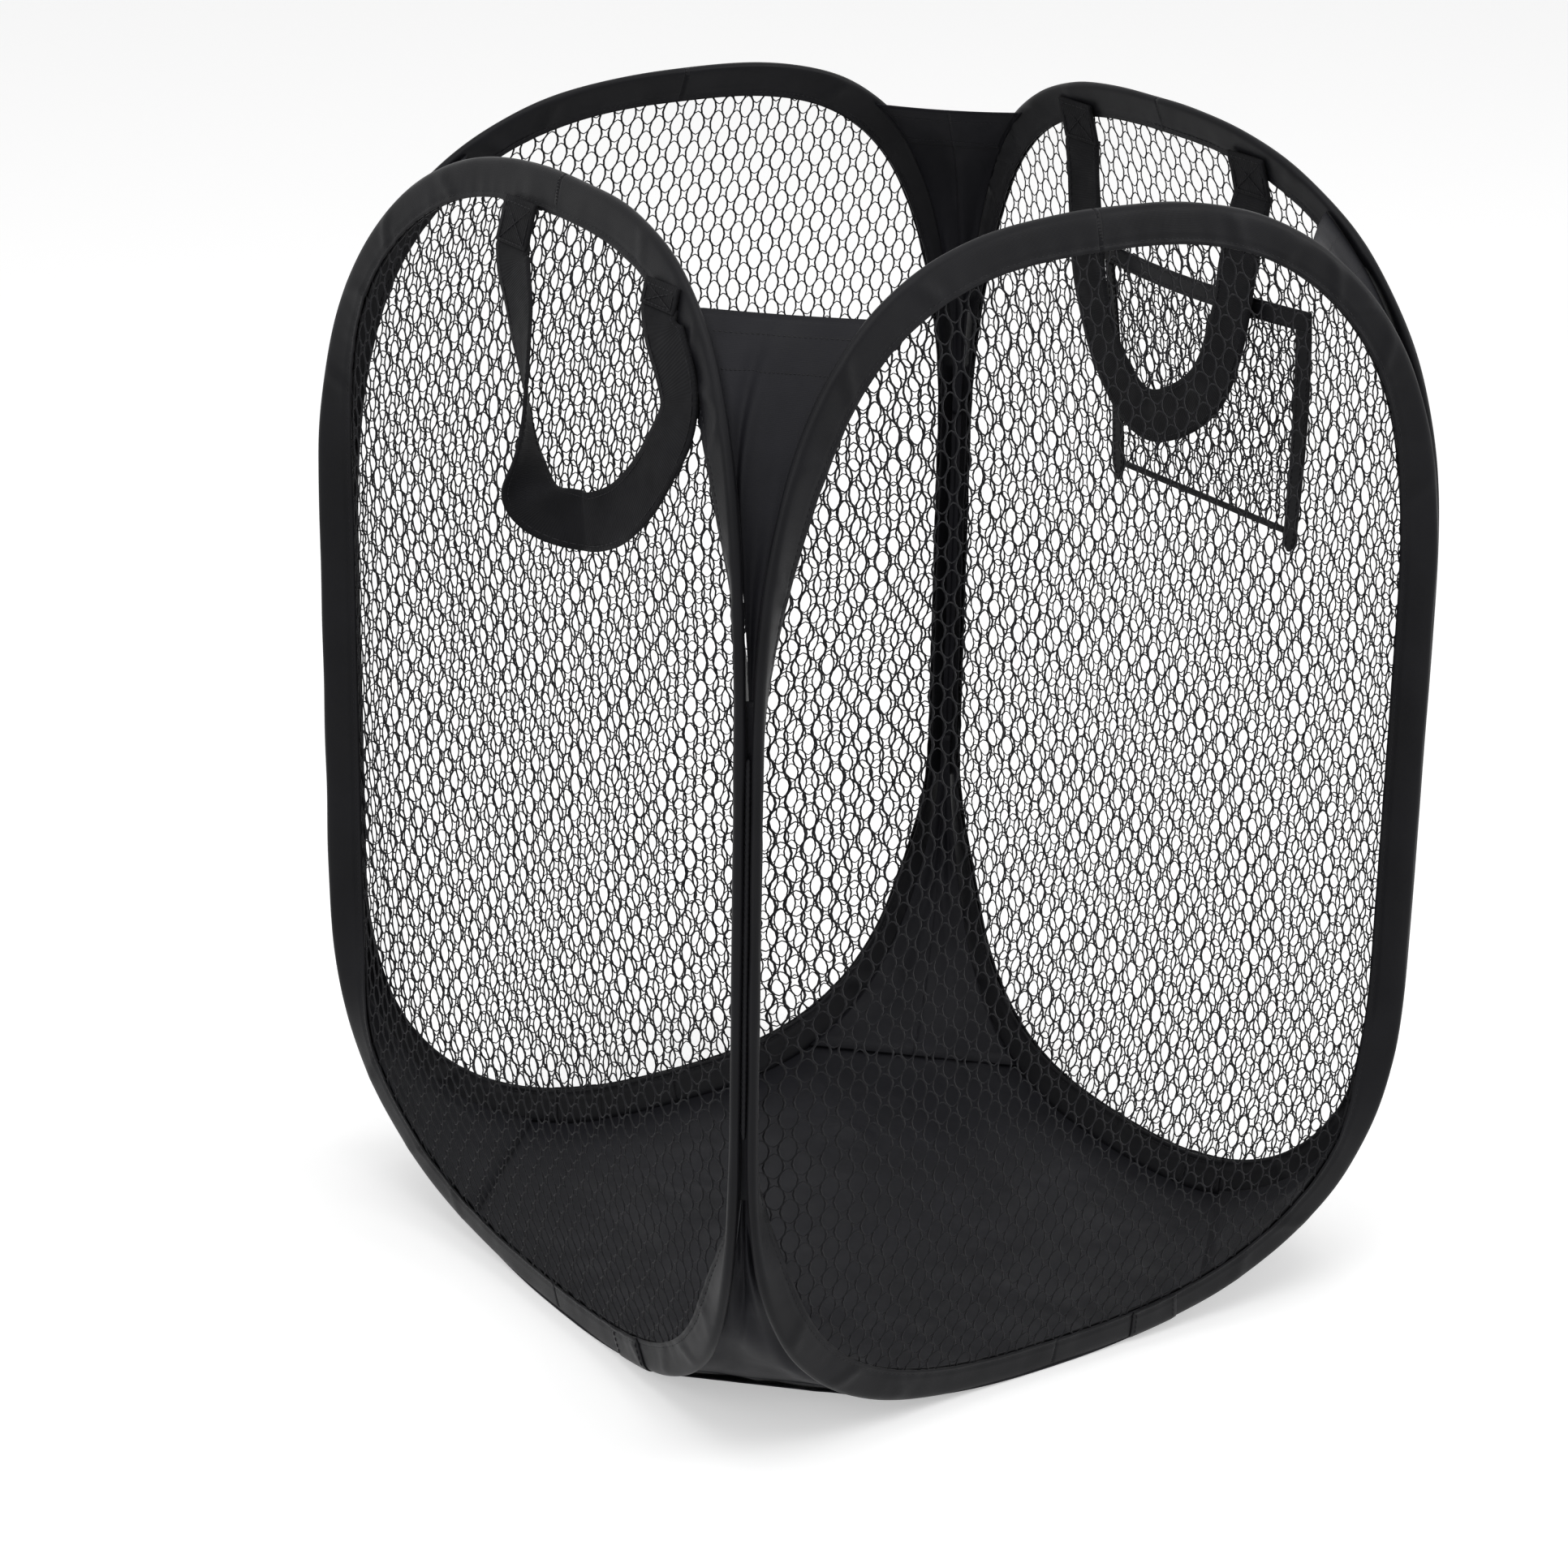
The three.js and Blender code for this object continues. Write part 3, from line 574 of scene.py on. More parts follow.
def bend_points(corner):
    """A point on each side of a corner's diagonal."""
    shift = BEND_REACH / math.sqrt(2)
    start = turned(-CORNER_PLACE - shift, -CORNER_PLACE + shift, WIDEST_HEIGHT, CORNERS[corner])
    end = turned(-CORNER_PLACE + shift, -CORNER_PLACE - shift, WIDEST_HEIGHT, CORNERS[corner])
    return tuple(start), tuple(end)


def finish_piece(name, mesh, slot, body, replaced=(), corner=None, hinge=None):
    mesh.materials.append(MATERIALS[slot])
    mesh.polygons.foreach_set("use_smooth", np.ones(len(mesh.polygons), dtype=bool))
    piece = bpy.data.objects.new(name, mesh)
    bpy.context.collection.objects.link(piece)
    if corner in THREE_JOINED:
        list(MEETING[corner])
        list(bend_points(corner))
        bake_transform(piece)
    elif hinge:
        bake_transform(piece)
    else:
        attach(piece, body)
    if replaced:
        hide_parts(*replaced)
    return piece


def thicken(piece, thickness):
    wall = piece.modifiers.new("wall", "SOLIDIFY")
    wall.thickness = thickness
    wall.offset = 0


print("cloth bends over", 2 * BEND_REACH, "metres at", len(THREE_JOINED), "corners")

# %% [markdown]
# Tape, strap, hem and gusset all start as the same thing: a flat cut of cloth. So one helper makes a flat
# grid, keeps its flat place as a UV map in metres, and bends it into the place that a function gives for each
# share along and across. A thin wall is added afterwards by Solidify. Cords, wire and stitches are the same
# cut rolled up into a tube, with its long edges welded.

# %% Cloth helper
WELD_DISTANCE = 1e-6
TUBE_GIRTH = 2 * math.pi * 0.001
TRIAL_CUT = (0.1, 0.05)


def bent_cloth(name, columns, rows, size, place, closed=False):
    """A flat cut of cloth as a mesh, bent by place(shares along, shares across)."""
    mesh = bpy.data.meshes.new(name)
    bm = bmesh.new()
    bmesh.ops.create_grid(bm, x_segments=columns, y_segments=rows, size=1)
    bm.to_mesh(mesh)
    bm.free()
    flat = np.empty(3 * len(mesh.vertices))
    mesh.vertices.foreach_get("co", flat)
    shares = (flat.reshape(-1, 3)[:, :2] + 1) / 2
    corners = np.empty(len(mesh.loops), dtype=int)
    mesh.loops.foreach_get("vertex_index", corners)
    mesh.uv_layers.new(name="UVMap").data.foreach_set("uv", (shares[corners] * size).ravel())
    mesh.vertices.foreach_set("co", place(shares[:, 0], shares[:, 1]).ravel())
    if closed:
        weld(mesh)
    mesh.update()
    return mesh


def weld(mesh):
    bm = bmesh.new()
    bm.from_mesh(mesh)
    bmesh.ops.remove_doubles(bm, verts=bm.verts, dist=WELD_DISTANCE)
    bmesh.ops.recalc_face_normals(bm, faces=bm.faces)
    bm.to_mesh(mesh)
    bm.free()


def sewn_together(name, meshes):
    """Several meshes as one, without moving any."""
    whole = bpy.data.meshes.new(name)
    bm = bmesh.new()
    for mesh in meshes:
        bm.from_mesh(mesh)
        bpy.data.meshes.remove(mesh)
    bm.to_mesh(whole)
    bm.free()
    return whole


def tube(name, columns, sides, length, radius, spot):
    """A tube along a line; spot(share, shift, lift) gives a point beside the line and above its cloth."""
    def place(share, around):
        angle = 2 * math.pi * around
        return spot(share, radius * np.cos(angle), radius * np.sin(angle))
    return bent_cloth(name, columns, sides, (length, TUBE_GIRTH), place, closed=True)


def flat_place(share, across):
    return np.stack((share * TRIAL_CUT[0], across * TRIAL_CUT[1], 0 * share), axis=-1)


trial = bent_cloth("trial cut", 4, 2, TRIAL_CUT, flat_place)
print("a trial cut has", len(trial.vertices), "vertices and", len(trial.polygons), "faces")
bpy.data.meshes.remove(trial)

# %% [markdown]
# The tape is a nylon strip folded over the wire, lying flat on the net and stitched near its free edge. It
# bends round the hoop, so it has more cloth than it needs along its inner edge and puckers there. Creases
# run slantwise where it was turned at the tighter rounds. The stitch row presses a shallow groove. The two
# halves of a hoop's tape lap over each other by a hair, so that no line shows between them.

# %% Places on the tape
TAPE_WALL = 0.0006
FREE_EDGE_OUT = 0.00105
FLANK_CURVE = 1.4
STITCH_INSET = 0.0024
STITCH_GROOVE = 0.0005
GROOVE_WIDTH = 0.0009
ARC_LENGTH = math.pi / 2 * RIDGE_HALF
HALF_TAPE = FLANK + ARC_LENGTH
HALF_OVERLAP = 0.0008
TAPE_WAVE, TAPE_WAVE_HEIGHT, TAPE_WAVE_FADE, TAPE_WAVE_SEED = 0.05, 0.00022, 0.002, 10
PUCKER, PUCKER_HEIGHT, PUCKER_SEED = 0.012, 0.0002, 30
CREASE_WIDTH = 0.0036
CREASE_DEPTH = 0.0011
CREASE_SLANT = 0.9
CREASE_START_SPAN = 0.004
CREASE_END, CREASE_END_SPAN = 0.012, 0.005
CREASE_SHARES = [
    (0.052, 0.5), (0.071, -0.7), (0.093, 0.9), (0.118, -0.5), (0.335, 0.8), (0.352, -0.6), (0.383, 1.0),
    (0.397, -0.9), (0.412, 0.9), (0.431, -0.8), (0.452, 0.6), (0.561, 0.7), (0.597, -0.8), (0.622, 0.6),
    (0.655, -0.6), (0.884, 0.7), (0.915, -0.8), (0.94, 0.6),
]


def tape_ripple(seed, share, along, sign):
    """How far the cloth stands off its pressed place: soft waves, puckers and slanting creases."""
    free = 1 - smooth((along - STITCH_INSET) / (FLANK - STITCH_INSET))
    angle = 2 * math.pi * share
    ring = np.stack((np.cos(angle), np.sin(angle)), axis=-1) * HOOP_LENGTH / (2 * math.pi)
    spot = np.concatenate((ring, along[..., None]), axis=-1)
    wave = uneven_at(spot, TAPE_WAVE, TAPE_WAVE_SEED + seed * 2 + (sign > 0).any())
    wave = wave * TAPE_WAVE_HEIGHT * smooth(along / TAPE_WAVE_FADE)
    pucker = uneven_at(ring, PUCKER, PUCKER_SEED + seed) * PUCKER_HEIGHT * free
    crease = 0
    for place, size in CREASE_SHARES:
        slant = (place - share) * HOOP_LENGTH + size * CREASE_SLANT * (along - HALF_TAPE / 2)
        crease = crease + abs(size) * CREASE_DEPTH * np.exp(-((slant / CREASE_WIDTH) ** 2))
    fade = smooth(along / CREASE_START_SPAN) * (1 - smooth((along - CREASE_END) / CREASE_END_SPAN))
    return wave + pucker + crease * fade


def tape_spot(side, hand, seed, share, along, sign, lift):
    """A place on the tape's cloth, by its distance from the free edge and its lift off the cloth."""
    flat_out = mix(FREE_EDGE_OUT, RIDGE_HALF, smooth(along / FLANK) ** FLANK_CURVE)
    flat_out = flat_out - STITCH_GROOVE * np.exp(-(((along - STITCH_INSET) / GROOVE_WIDTH) ** 2))
    turn = np.maximum(0, along - FLANK) / RIDGE_HALF
    stand = tape_ripple(seed, share, along, sign) + lift
    on_flank = along < FLANK
    depth = np.where(on_flank, TAPE_WIDTH - along, RIDGE_HALF * (1 - np.sin(turn)) - stand * np.sin(turn))
    out = np.where(on_flank, flat_out + stand, (RIDGE_HALF + stand) * np.cos(turn))
    edge, inward = hoop_at(share)
    corner = CORNER_OF[side, hand]
    depth, out = turn_about_wire(depth, sign * out, bend_at(corner, edge[..., 1]))
    spot = edge + inward * depth[..., None]
    return on_panel(side, spot[..., 0], spot[..., 1], out)


def half_share(hand, share):
    """Shares of one half of the hoop, from its bottom middle to its top middle, as shares of the whole."""
    spread = mix(-HALF_OVERLAP, 0.5 + HALF_OVERLAP, share)
    return spread if hand > 0 else 1 - spread


def on_face(side, hand, seed, share, along, sign, lift):
    """A place above the cloth of the tape's outer face, or of its inner one where the sign is minus one."""
    return tape_spot(side, hand, seed, share, along, np.full_like(share, sign), lift + TAPE_WALL / 2)


def across_fold(across):
    """For shares across the flat tape, the face that each is on and how far it is from the free edge."""
    return np.where(across <= 0.5, 1, -1), np.minimum(across, 1 - across) * 2 * HALF_TAPE


print("the tape is", round(2 * HALF_TAPE, 4), "metres wide before it is folded")

# %% [markdown]
# With its places known, the tape itself is one flat cut for each half hoop, bent into place. Its middle line
# runs over the wire, and its two long edges are the free edges on the outer and the inner face.

# %% Tape on the hoops
TAPE_COLUMNS = 250
TAPE_ROWS = 26


def make_tape(side, hand, seed):
    corner = CORNER_OF[side, hand]

    def place(share, across):
        sign, along = across_fold(across)
        return tape_spot(side, hand, seed, half_share(hand, share), along, sign, 0)

    size = (HOOP_LENGTH / 2, 2 * HALF_TAPE)
    mesh = bent_cloth(f"{side}_tape_at_{corner}", TAPE_COLUMNS, TAPE_ROWS, size, place)
    weld(mesh)
    piece = finish_piece(mesh.name, mesh, "binding_tape", side, [f"{side}_binding"], corner)
    thicken(piece, TAPE_WALL)
    return piece


for half in HALVES:
    tape = make_tape(*half)
    print(tape.name, len(tape.data.polygons), "faces")

# %% [markdown]
# The spring wire runs in the fold of the tape. The frame's wire is a plain one with five flat sides, so here
# it is drawn round, and in the same halves as its tape.

# %% Spring wire
WIRE_RADIUS = 0.0011
WIRE_SIDES = 8
WIRE_COLUMNS = 150


def make_wire(side, hand):
    corner = CORNER_OF[side, hand]
    name = f"{side}_wire_at_{corner}"

    def spot(share, shift, lift):
        edge, inward = hoop_at(half_share(hand, share))
        line = edge + inward * (RIDGE_HALF + shift)[..., None]
        return on_panel(side, line[..., 0], line[..., 1], lift)

    mesh = tube(name, WIRE_COLUMNS, WIRE_SIDES, HOOP_LENGTH / 2, WIRE_RADIUS, spot)
    return finish_piece(name, mesh, "spring_wire", side, [f"{side}_hoop_wire"], corner)


for side, hand, _ in HALVES:
    make_wire(side, hand)
print(len(HALVES), "half hoops of wire,", round(2 * WIRE_RADIUS * 1000, 1), "mm thick")

# %% [markdown]
# A machine stitch is a short length of thread that dives into the cloth at both ends. A row of them is one
# thin tube whose thickness beats once a stitch and sinks into the cloth between the stitches. There is one
# row on the outer face of the tape and one on the inner face.

# %% Stitch rows
STITCH_LENGTH = 0.0032
STITCH_RADIUS = 0.00032
STITCH_STEPS = 4
STITCH_SIDES = 4
STITCH_ROUNDING = 0.7
STITCH_THIN = 0.3
STITCH_SINK = 0.7
STITCH_GIRTH = 0.001
BOTH_FACES = (1, -1)


def stitch_row(length, spot):
    """A row of stitches; spot(share, shift, lift) gives a place beside the row and above the cloth."""
    count = max(1, round(length / STITCH_LENGTH))

    def place(share, around):
        angle = 2 * math.pi * around
        beat = np.abs(np.sin(math.pi * count * share)) ** STITCH_ROUNDING
        radius = STITCH_RADIUS * mix(STITCH_THIN, 1, beat)
        sink = STITCH_RADIUS * (beat - STITCH_SINK)
        return spot(share, radius * np.cos(angle), radius * np.sin(angle) + sink)

    return bent_cloth("row", count * STITCH_STEPS, STITCH_SIDES, (length, STITCH_GIRTH), place, closed=True)


def sew(name, rows, body, corner=None, hinge=None):
    """Rows of stitches as one piece of thread."""
    mesh = sewn_together(name, rows)
    return finish_piece(mesh.name, mesh, "thread", body, (), corner, hinge)


def make_tape_stitches(side, hand, seed):
    corner = CORNER_OF[side, hand]
    rows = []
    for sign in BOTH_FACES:
        def spot(share, shift, lift):
            return on_face(side, hand, seed, half_share(hand, share), STITCH_INSET + shift, sign, lift)
        rows.append(stitch_row(HOOP_LENGTH / 2, spot))
    return sew(f"{side}_stitches_at_{corner}", rows, side, corner)


for half in HALVES:
    stitches = make_tape_stitches(*half)
print(round(HOOP_LENGTH / STITCH_LENGTH), "stitches a row,", len(stitches.data.polygons), "faces a half")

# %% [markdown]
# Each tape starts and ends near the bottom of its hoop, where its end laps over its start. The lap is a
# second layer on both faces, a little proud of the first, with a stitched line across each of its ends.

# %% Laps of the tapes
LAP_LIFT = 0.00085
LAP_COLUMNS = 34
LAP_END_INSET = 0.0022
LAP_END_SINK = 0.35
LAP_END_SHARE = 0.08
NEAR_BOTTOM = np.linspace(-0.25, 0.25, 2001)


def panel_across(side, point):
    """How far across its panel a point of the hamper's own frame lies."""
    angle = math.radians(SIDES[side])
    return point[0] * math.cos(angle) + point[1] * math.sin(angle)


def lap_shares(side):
    """The stretch of the hoop that the frame's lap covers."""
    low, high = sorted(panel_across(side, corner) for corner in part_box(f"{side}_binding_lap"))
    across = hoop_point(NEAR_BOTTOM)[:, 0]
    inside = NEAR_BOTTOM[(across > low) & (across < high)]
    return float(inside.min()), float(inside.max())


def make_lap(side, seed):
    start, end = lap_shares(side)
    half = (side, 1 if start > 0 else -1, seed)
    length = (end - start) * HOOP_LENGTH

    def place(share, across):
        sign, along = across_fold(across)
        ends = smooth(share / LAP_END_SHARE) * smooth((1 - share) / LAP_END_SHARE)
        lift = LAP_LIFT * (1 - LAP_END_SINK * (1 - ends))
        return tape_spot(*half, mix(start, end, share), along, sign, lift)

    mesh = bent_cloth(f"{side}_lap", LAP_COLUMNS, TAPE_ROWS, (length, 2 * HALF_TAPE), place)
    weld(mesh)
    lap = finish_piece(mesh.name, mesh, "binding_tape", side, [f"{side}_binding_lap"])
    thicken(lap, TAPE_WALL)
    rows = []
    for sign in BOTH_FACES:
        def along_edge(share, shift, lift):
            return on_face(*half, mix(start, end, share), STITCH_INSET + shift, sign, LAP_LIFT + lift)
        rows.append(stitch_row(length, along_edge))
        for inset in (LAP_END_INSET / length, 1 - LAP_END_INSET / length):
            def across_end(share, shift, lift):
                whole = mix(start, end, inset) + shift / HOOP_LENGTH
                return on_face(*half, whole, mix(STITCH_INSET, FLANK, share), sign, LAP_LIFT + lift)
            rows.append(stitch_row(FLANK - STITCH_INSET, across_end))
    sew(f"{side}_lap_stitches", rows, side)
    return start, end


for seed, side in enumerate(SIDES):
    print(side, "tape laps from", *(round(share, 3) for share in make_lap(side, seed)), "of the hoop")

# %% [markdown]
# The net is knitted, and its gaps are tall pointed ovals in staggered columns, with small four pointed gaps
# left between them. One oval's yarn is thickest at its sides and thin where it meets the next ones. A pair of
# them is repeated by two Array modifiers into a field, the field is cut to the hoop, and then each point is
# drawn a little out of line, as a stretched net is, and laid on the panel.

# %% Field of yarn ovals
CELL_WIDTH = 0.0116
CELL_HEIGHT = 0.0148
OVAL_HALF_WIDTH = 0.0041
OVAL_HALF_HEIGHT = 0.0058
OVAL_POINT = 1.25
YARN_SIDE = 0.00056
YARN_END = 0.00030
YARN_DEPTH = 0.00038
OVAL_STEPS = 12
OVAL_VERTS = 4 * OVAL_STEPS


def oval_loop(bm, grow_across, grow_up, out):
    verts = bmesh.ops.create_circle(bm, segments=OVAL_STEPS, radius=1)["verts"]
    for vert in verts:
        pointed = math.copysign(abs(vert.co.x) ** OVAL_POINT, vert.co.x)
        across = pointed * (OVAL_HALF_WIDTH + grow_across)
        up = vert.co.y * (OVAL_HALF_HEIGHT + grow_up)
        vert.co = Vector((across, up, out))
    return list({edge for vert in verts for edge in vert.link_edges})


def oval_yarn(bm, centre):
    loops = [
        oval_loop(bm, YARN_SIDE, YARN_END, 0),
        oval_loop(bm, 0, 0, YARN_DEPTH),
        oval_loop(bm, -YARN_SIDE, -YARN_END, 0),
        oval_loop(bm, 0, 0, -YARN_DEPTH),
    ]
    verts = {vert for loop in loops for edge in loop for vert in edge.verts}
    for first, second in zip(loops, loops[1:] + loops[:1]):
        bmesh.ops.bridge_loops(bm, edges=first + second)
    bmesh.ops.translate(bm, verts=list(verts), vec=(*centre, 0))


def net_pair():
    mesh = bpy.data.meshes.new("net pair")
    bm = bmesh.new()
    oval_yarn(bm, (0, 0))
    oval_yarn(bm, (CELL_WIDTH / 2, CELL_HEIGHT / 2))
    bmesh.ops.recalc_face_normals(bm, faces=bm.faces)
    bm.to_mesh(mesh)
    bm.free()
    return mesh


def net_field(columns, rows):
    """A field of yarn ovals, from the lower left corner on, as a mesh of whole ovals in order."""
    holder = bpy.data.objects.new("net field", net_pair())
    bpy.context.collection.objects.link(holder)
    for count, step in ((columns, (CELL_WIDTH, 0, 0)), (rows, (0, CELL_HEIGHT, 0))):
        array = holder.modifiers.new("repeat", "ARRAY")
        array.count = count
        array.use_relative_offset = False
        array.use_constant_offset = True
        array.constant_offset_displace = step
    bpy.context.view_layer.update()
    evaluated = holder.evaluated_get(bpy.context.evaluated_depsgraph_get())
    mesh = bpy.data.meshes.new_from_object(evaluated)
    bpy.data.objects.remove(holder)
    return mesh


field_columns = math.ceil(2 * HALF_WIDTH / CELL_WIDTH) + 1
field_rows = math.ceil(HEIGHT / CELL_HEIGHT) + 1
panel_field = net_field(field_columns, field_rows)
print("a field of", 2 * field_columns * field_rows, "ovals,", OVAL_VERTS, "points each")

# %% [markdown]
# One field is cut eight times, once for each half hoop. Only whole ovals are kept, so the cut edge hides
# under the tape. The net follows the tape where it turns in, and swells a little in the middle.

# %% Net on the hoops
NET_TUCK = 0.0115
NET_BILLOW = 0.0012
BILLOW_SIZE = 0.2
BILLOW_EDGE = 0.09
NET_SLIDES = ((0.16, 60, 0.0026), (0.03, 70, 0.0005))
NET_LIFTS = ((0.18, 80, 0.0024), (0.03, 90, 0.0004))


def drawn(across, up, seed):
    """The knit drawn a little out of line, by waves that each have a size, a seed and a height."""
    spot = np.stack((across, up), axis=-1)
    slide = sum(uneven_at(spot, size, start + seed) * height for size, start, height in NET_SLIDES)
    lift = sum(uneven_at(spot, size, start + seed) * height for size, start, height in NET_LIFTS)
    return across + slide, up + lift


def lay_net(name, field, corner, seed, keep, place):
    """Cuts a field of ovals to those whose middles are kept, and lays it in place."""
    count = len(field.vertices)
    flat = np.empty(3 * count)
    field.vertices.foreach_get("co", flat)
    flat = flat.reshape(-1, 3)
    across, up = drawn(flat[:, 0] + corner[0], flat[:, 1] + corner[1], seed)
    middles = np.stack((across, up), axis=1).reshape(-1, OVAL_VERTS, 2).mean(axis=1)
    kept = np.repeat(keep(middles[:, 0], middles[:, 1]), OVAL_VERTS)
    mesh = field.copy()
    mesh.name = name
    mesh.vertices.foreach_set("co", place(across, up, flat[:, 2]).ravel())
    bm = bmesh.new()
    bm.from_mesh(mesh)
    bmesh.ops.delete(bm, geom=[vert for vert, stays in zip(bm.verts, kept) if not stays], context="VERTS")
    bm.to_mesh(mesh)
    bm.free()
    return mesh


def inside_hoop(across, up):
    above = up > WIDEST_HEIGHT
    half = np.where(above, HEIGHT - WIDEST_HEIGHT, WIDEST_HEIGHT) - NET_TUCK
    power = np.where(above, TOP_ROUND_SHARE, BOTTOM_ROUND_SHARE)
    level = np.maximum(0, np.abs(up - WIDEST_HEIGHT) / half - STRAIGHT_SHARE) / (1 - STRAIGHT_SHARE)
    return (np.abs(across) / (HALF_WIDTH - NET_TUCK)) ** power + level**power < 1


def make_net(side, hand, seed, field, low_corner):
    corner = CORNER_OF[side, hand]

    def keep(across, up):
        return inside_hoop(across, up) & (across * hand > 0)

    def place(across, up, out):
        depth = edge_at(up) - np.abs(across)
        slack = uneven_at(np.stack((across, up), axis=-1), BILLOW_SIZE, seed)
        billow = NET_BILLOW * smooth(depth / BILLOW_EDGE) * mix(0.5, 1, slack)
        new_depth, out = draw_net(depth, out + billow, bend_at(corner, up))
        return on_panel(side, across + np.sign(across) * (depth - new_depth), up, out)

    name = f"{side}_net_at_{corner}"
    mesh = lay_net(name, field, low_corner, seed, keep, place)
    piece = finish_piece(name, mesh, "net", side, [f"{side}_net"], corner)
    return piece


field_corner = (-field_columns * CELL_WIDTH / 2, -CELL_HEIGHT / 2)
for half in HALVES:
    net = make_net(*half, panel_field, field_corner)
    print(net.name, len(net.data.polygons), "faces")

# %% [markdown]
# Between the sewn backs of two tapes runs the corner seam, rolled over a cord. It is a thin tube with the
# slant of its twist, on the line about which the two panels fold.

# %% Corner seams
SEAM_RADIUS = 0.00125
SEAM_LOW = 0.176
SEAM_HIGH = 0.352
SEAM_TWIST = 0.00012
SEAM_TWISTS = 60
SEAM_STEPS = 480
SEAM_SIDES = 8
SEAM_GIRTH = 0.008
SEAM_END_POWER = 60


def make_seam(corner):
    name = f"{corner}_corded_seam"
    low, high = (np.array(point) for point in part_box(f"{corner}_seam"))
    middle = (low + high) / 2

    def place(share, around):
        angle = 2 * math.pi * around
        radius = SEAM_RADIUS + SEAM_TWIST * np.sin(2 * angle + 2 * math.pi * SEAM_TWISTS * share)
        ends = np.sqrt(np.clip(1 - (2 * np.abs(share - 0.5)) ** SEAM_END_POWER, 0, 1))
        x = middle[0] + radius * ends * np.cos(angle)
        y = middle[1] + radius * ends * np.sin(angle)
        return np.stack((x, y, mix(SEAM_LOW, SEAM_HIGH, share)), axis=-1)

    size = (SEAM_HIGH - SEAM_LOW, SEAM_GIRTH)
    mesh = bent_cloth(name, SEAM_STEPS, SEAM_SIDES, size, place, closed=True)
    return finish_piece(name, mesh, "binding_tape", corner.split("_")[0], [f"{corner}_seam"])


for corner in CORNERS:
    print(make_seam(corner).name, "from", SEAM_LOW, "to", SEAM_HIGH)

# %% [markdown]
# The cloths of a corner all stand on lines from one hoop to the next. The cloth is a little wider than the
# gap, because the corner has to open flat when the hamper is folded, so it sags inwards and shows slanting
# folds. At the back right corner each cloth is made in two halves, one on each hoop. The size that each was
# cut to is measured along its lines, with what is sewn in added.

# %% Places across a corner
GUSSET_TUCK = 0.0065
GUSSET_BEHIND = 0.0029
HALF_LAP = 0.004


def across_corner(corner, up, share, tuck, behind, inward):
    """A point on the line across a corner, from the left hand hoop to the right hand one."""
    depth, out = turn_about_wire(tuck, -behind, bend_at(corner, up))
    edge = edge_at(up) - depth
    plane = PANEL_PLANE - lean_at(up) + out
    shift = inward / math.sqrt(2)
    return turned(mix(-plane, -edge, share) + shift, mix(-edge, -plane, share) + shift, up, CORNERS[corner])


def fold_lines(share, rise, folds):
    """Slanting folds, each by its place across at mid height, slant, width and depth."""
    total = 0
    for middle, slant, width, depth in folds:
        total = total + depth * np.exp(-(((share - middle - slant * (rise - 0.5)) / width) ** 2))
    return total


def corner_parts(corner):
    """The stretches in which a corner's cloth is made, each with the body that carries it."""
    if corner in THREE_JOINED:
        return [(corner, 0, 1, corner.split("_")[0])]
    right_body, left_body = MEETING[corner]
    middle = 0.5 + HALF_LAP
    return [
        (f"{corner}_{right_body}", 0, middle, right_body),
        (f"{corner}_{left_body}", 1 - middle, 1, left_body),
    ]


def hold_open_corner(piece, body):
    """Gives a cloth on one hoop of the back right corner a mesh of its own."""
    other_body = MEETING[OPEN_CORNER][0] if body == MEETING[OPEN_CORNER][1] else MEETING[OPEN_CORNER][1]
    outward = turned(0, -1, 0, SIDES[body])
    to_corner = turned(0, -1, 0, SIDES[other_body])
    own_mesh(piece)


for corner in CORNERS:
    print(corner, "has its cloths in", len(corner_parts(corner)), "part or parts")

# %% Cloth across a corner
CLOTH_WALL = 0.0005
SEWN_IN = 0.010
CUT_LINES = 80
EDGE_FADE = 6


def cut_of(place, start, end, height):
    """The flat size and area of a cloth across a corner, with what is sewn in under the tapes."""
    rise = np.linspace(0, 1, CUT_LINES)
    lines_across = place(0 * rise + end, rise) - place(0 * rise + start, rise)
    widths = np.linalg.norm(lines_across, axis=1) + SEWN_IN * (end - start)
    return (float(widths.max()), height), float(widths.mean()) * height


def away_from_edges(share):
    """One over most of a cloth, and zero where its two sides are sewn in."""
    return smooth(share * EDGE_FADE) * smooth((1 - share) * EDGE_FADE)


def corner_cloth(name, corner, place, grid, height, replaced, trims=None):
    """One cloth across a corner, in the parts that the corner needs. The trims are not used."""
    made = []
    for index, (part, start, end, body) in enumerate(corner_parts(corner)):
        def part_place(share, rise):
            return place(mix(start, end, share), rise)
        flat, area = cut_of(place, start, end, height)
        mesh = bent_cloth(f"{part}_{name}", round(grid[0] * (end - start)), grid[1], flat, part_place)
        piece = finish_piece(mesh.name, mesh, "gusset_cloth", body, replaced, corner)
        thicken(piece, CLOTH_WALL)
        if corner == OPEN_CORNER:
            hold_open_corner(piece, body)
        if trims is not None:
            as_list(trims[index])
        made.append(piece)
    return made


print("a side of a cloth has", SEWN_IN / 2, "metres sewn in under its tape")
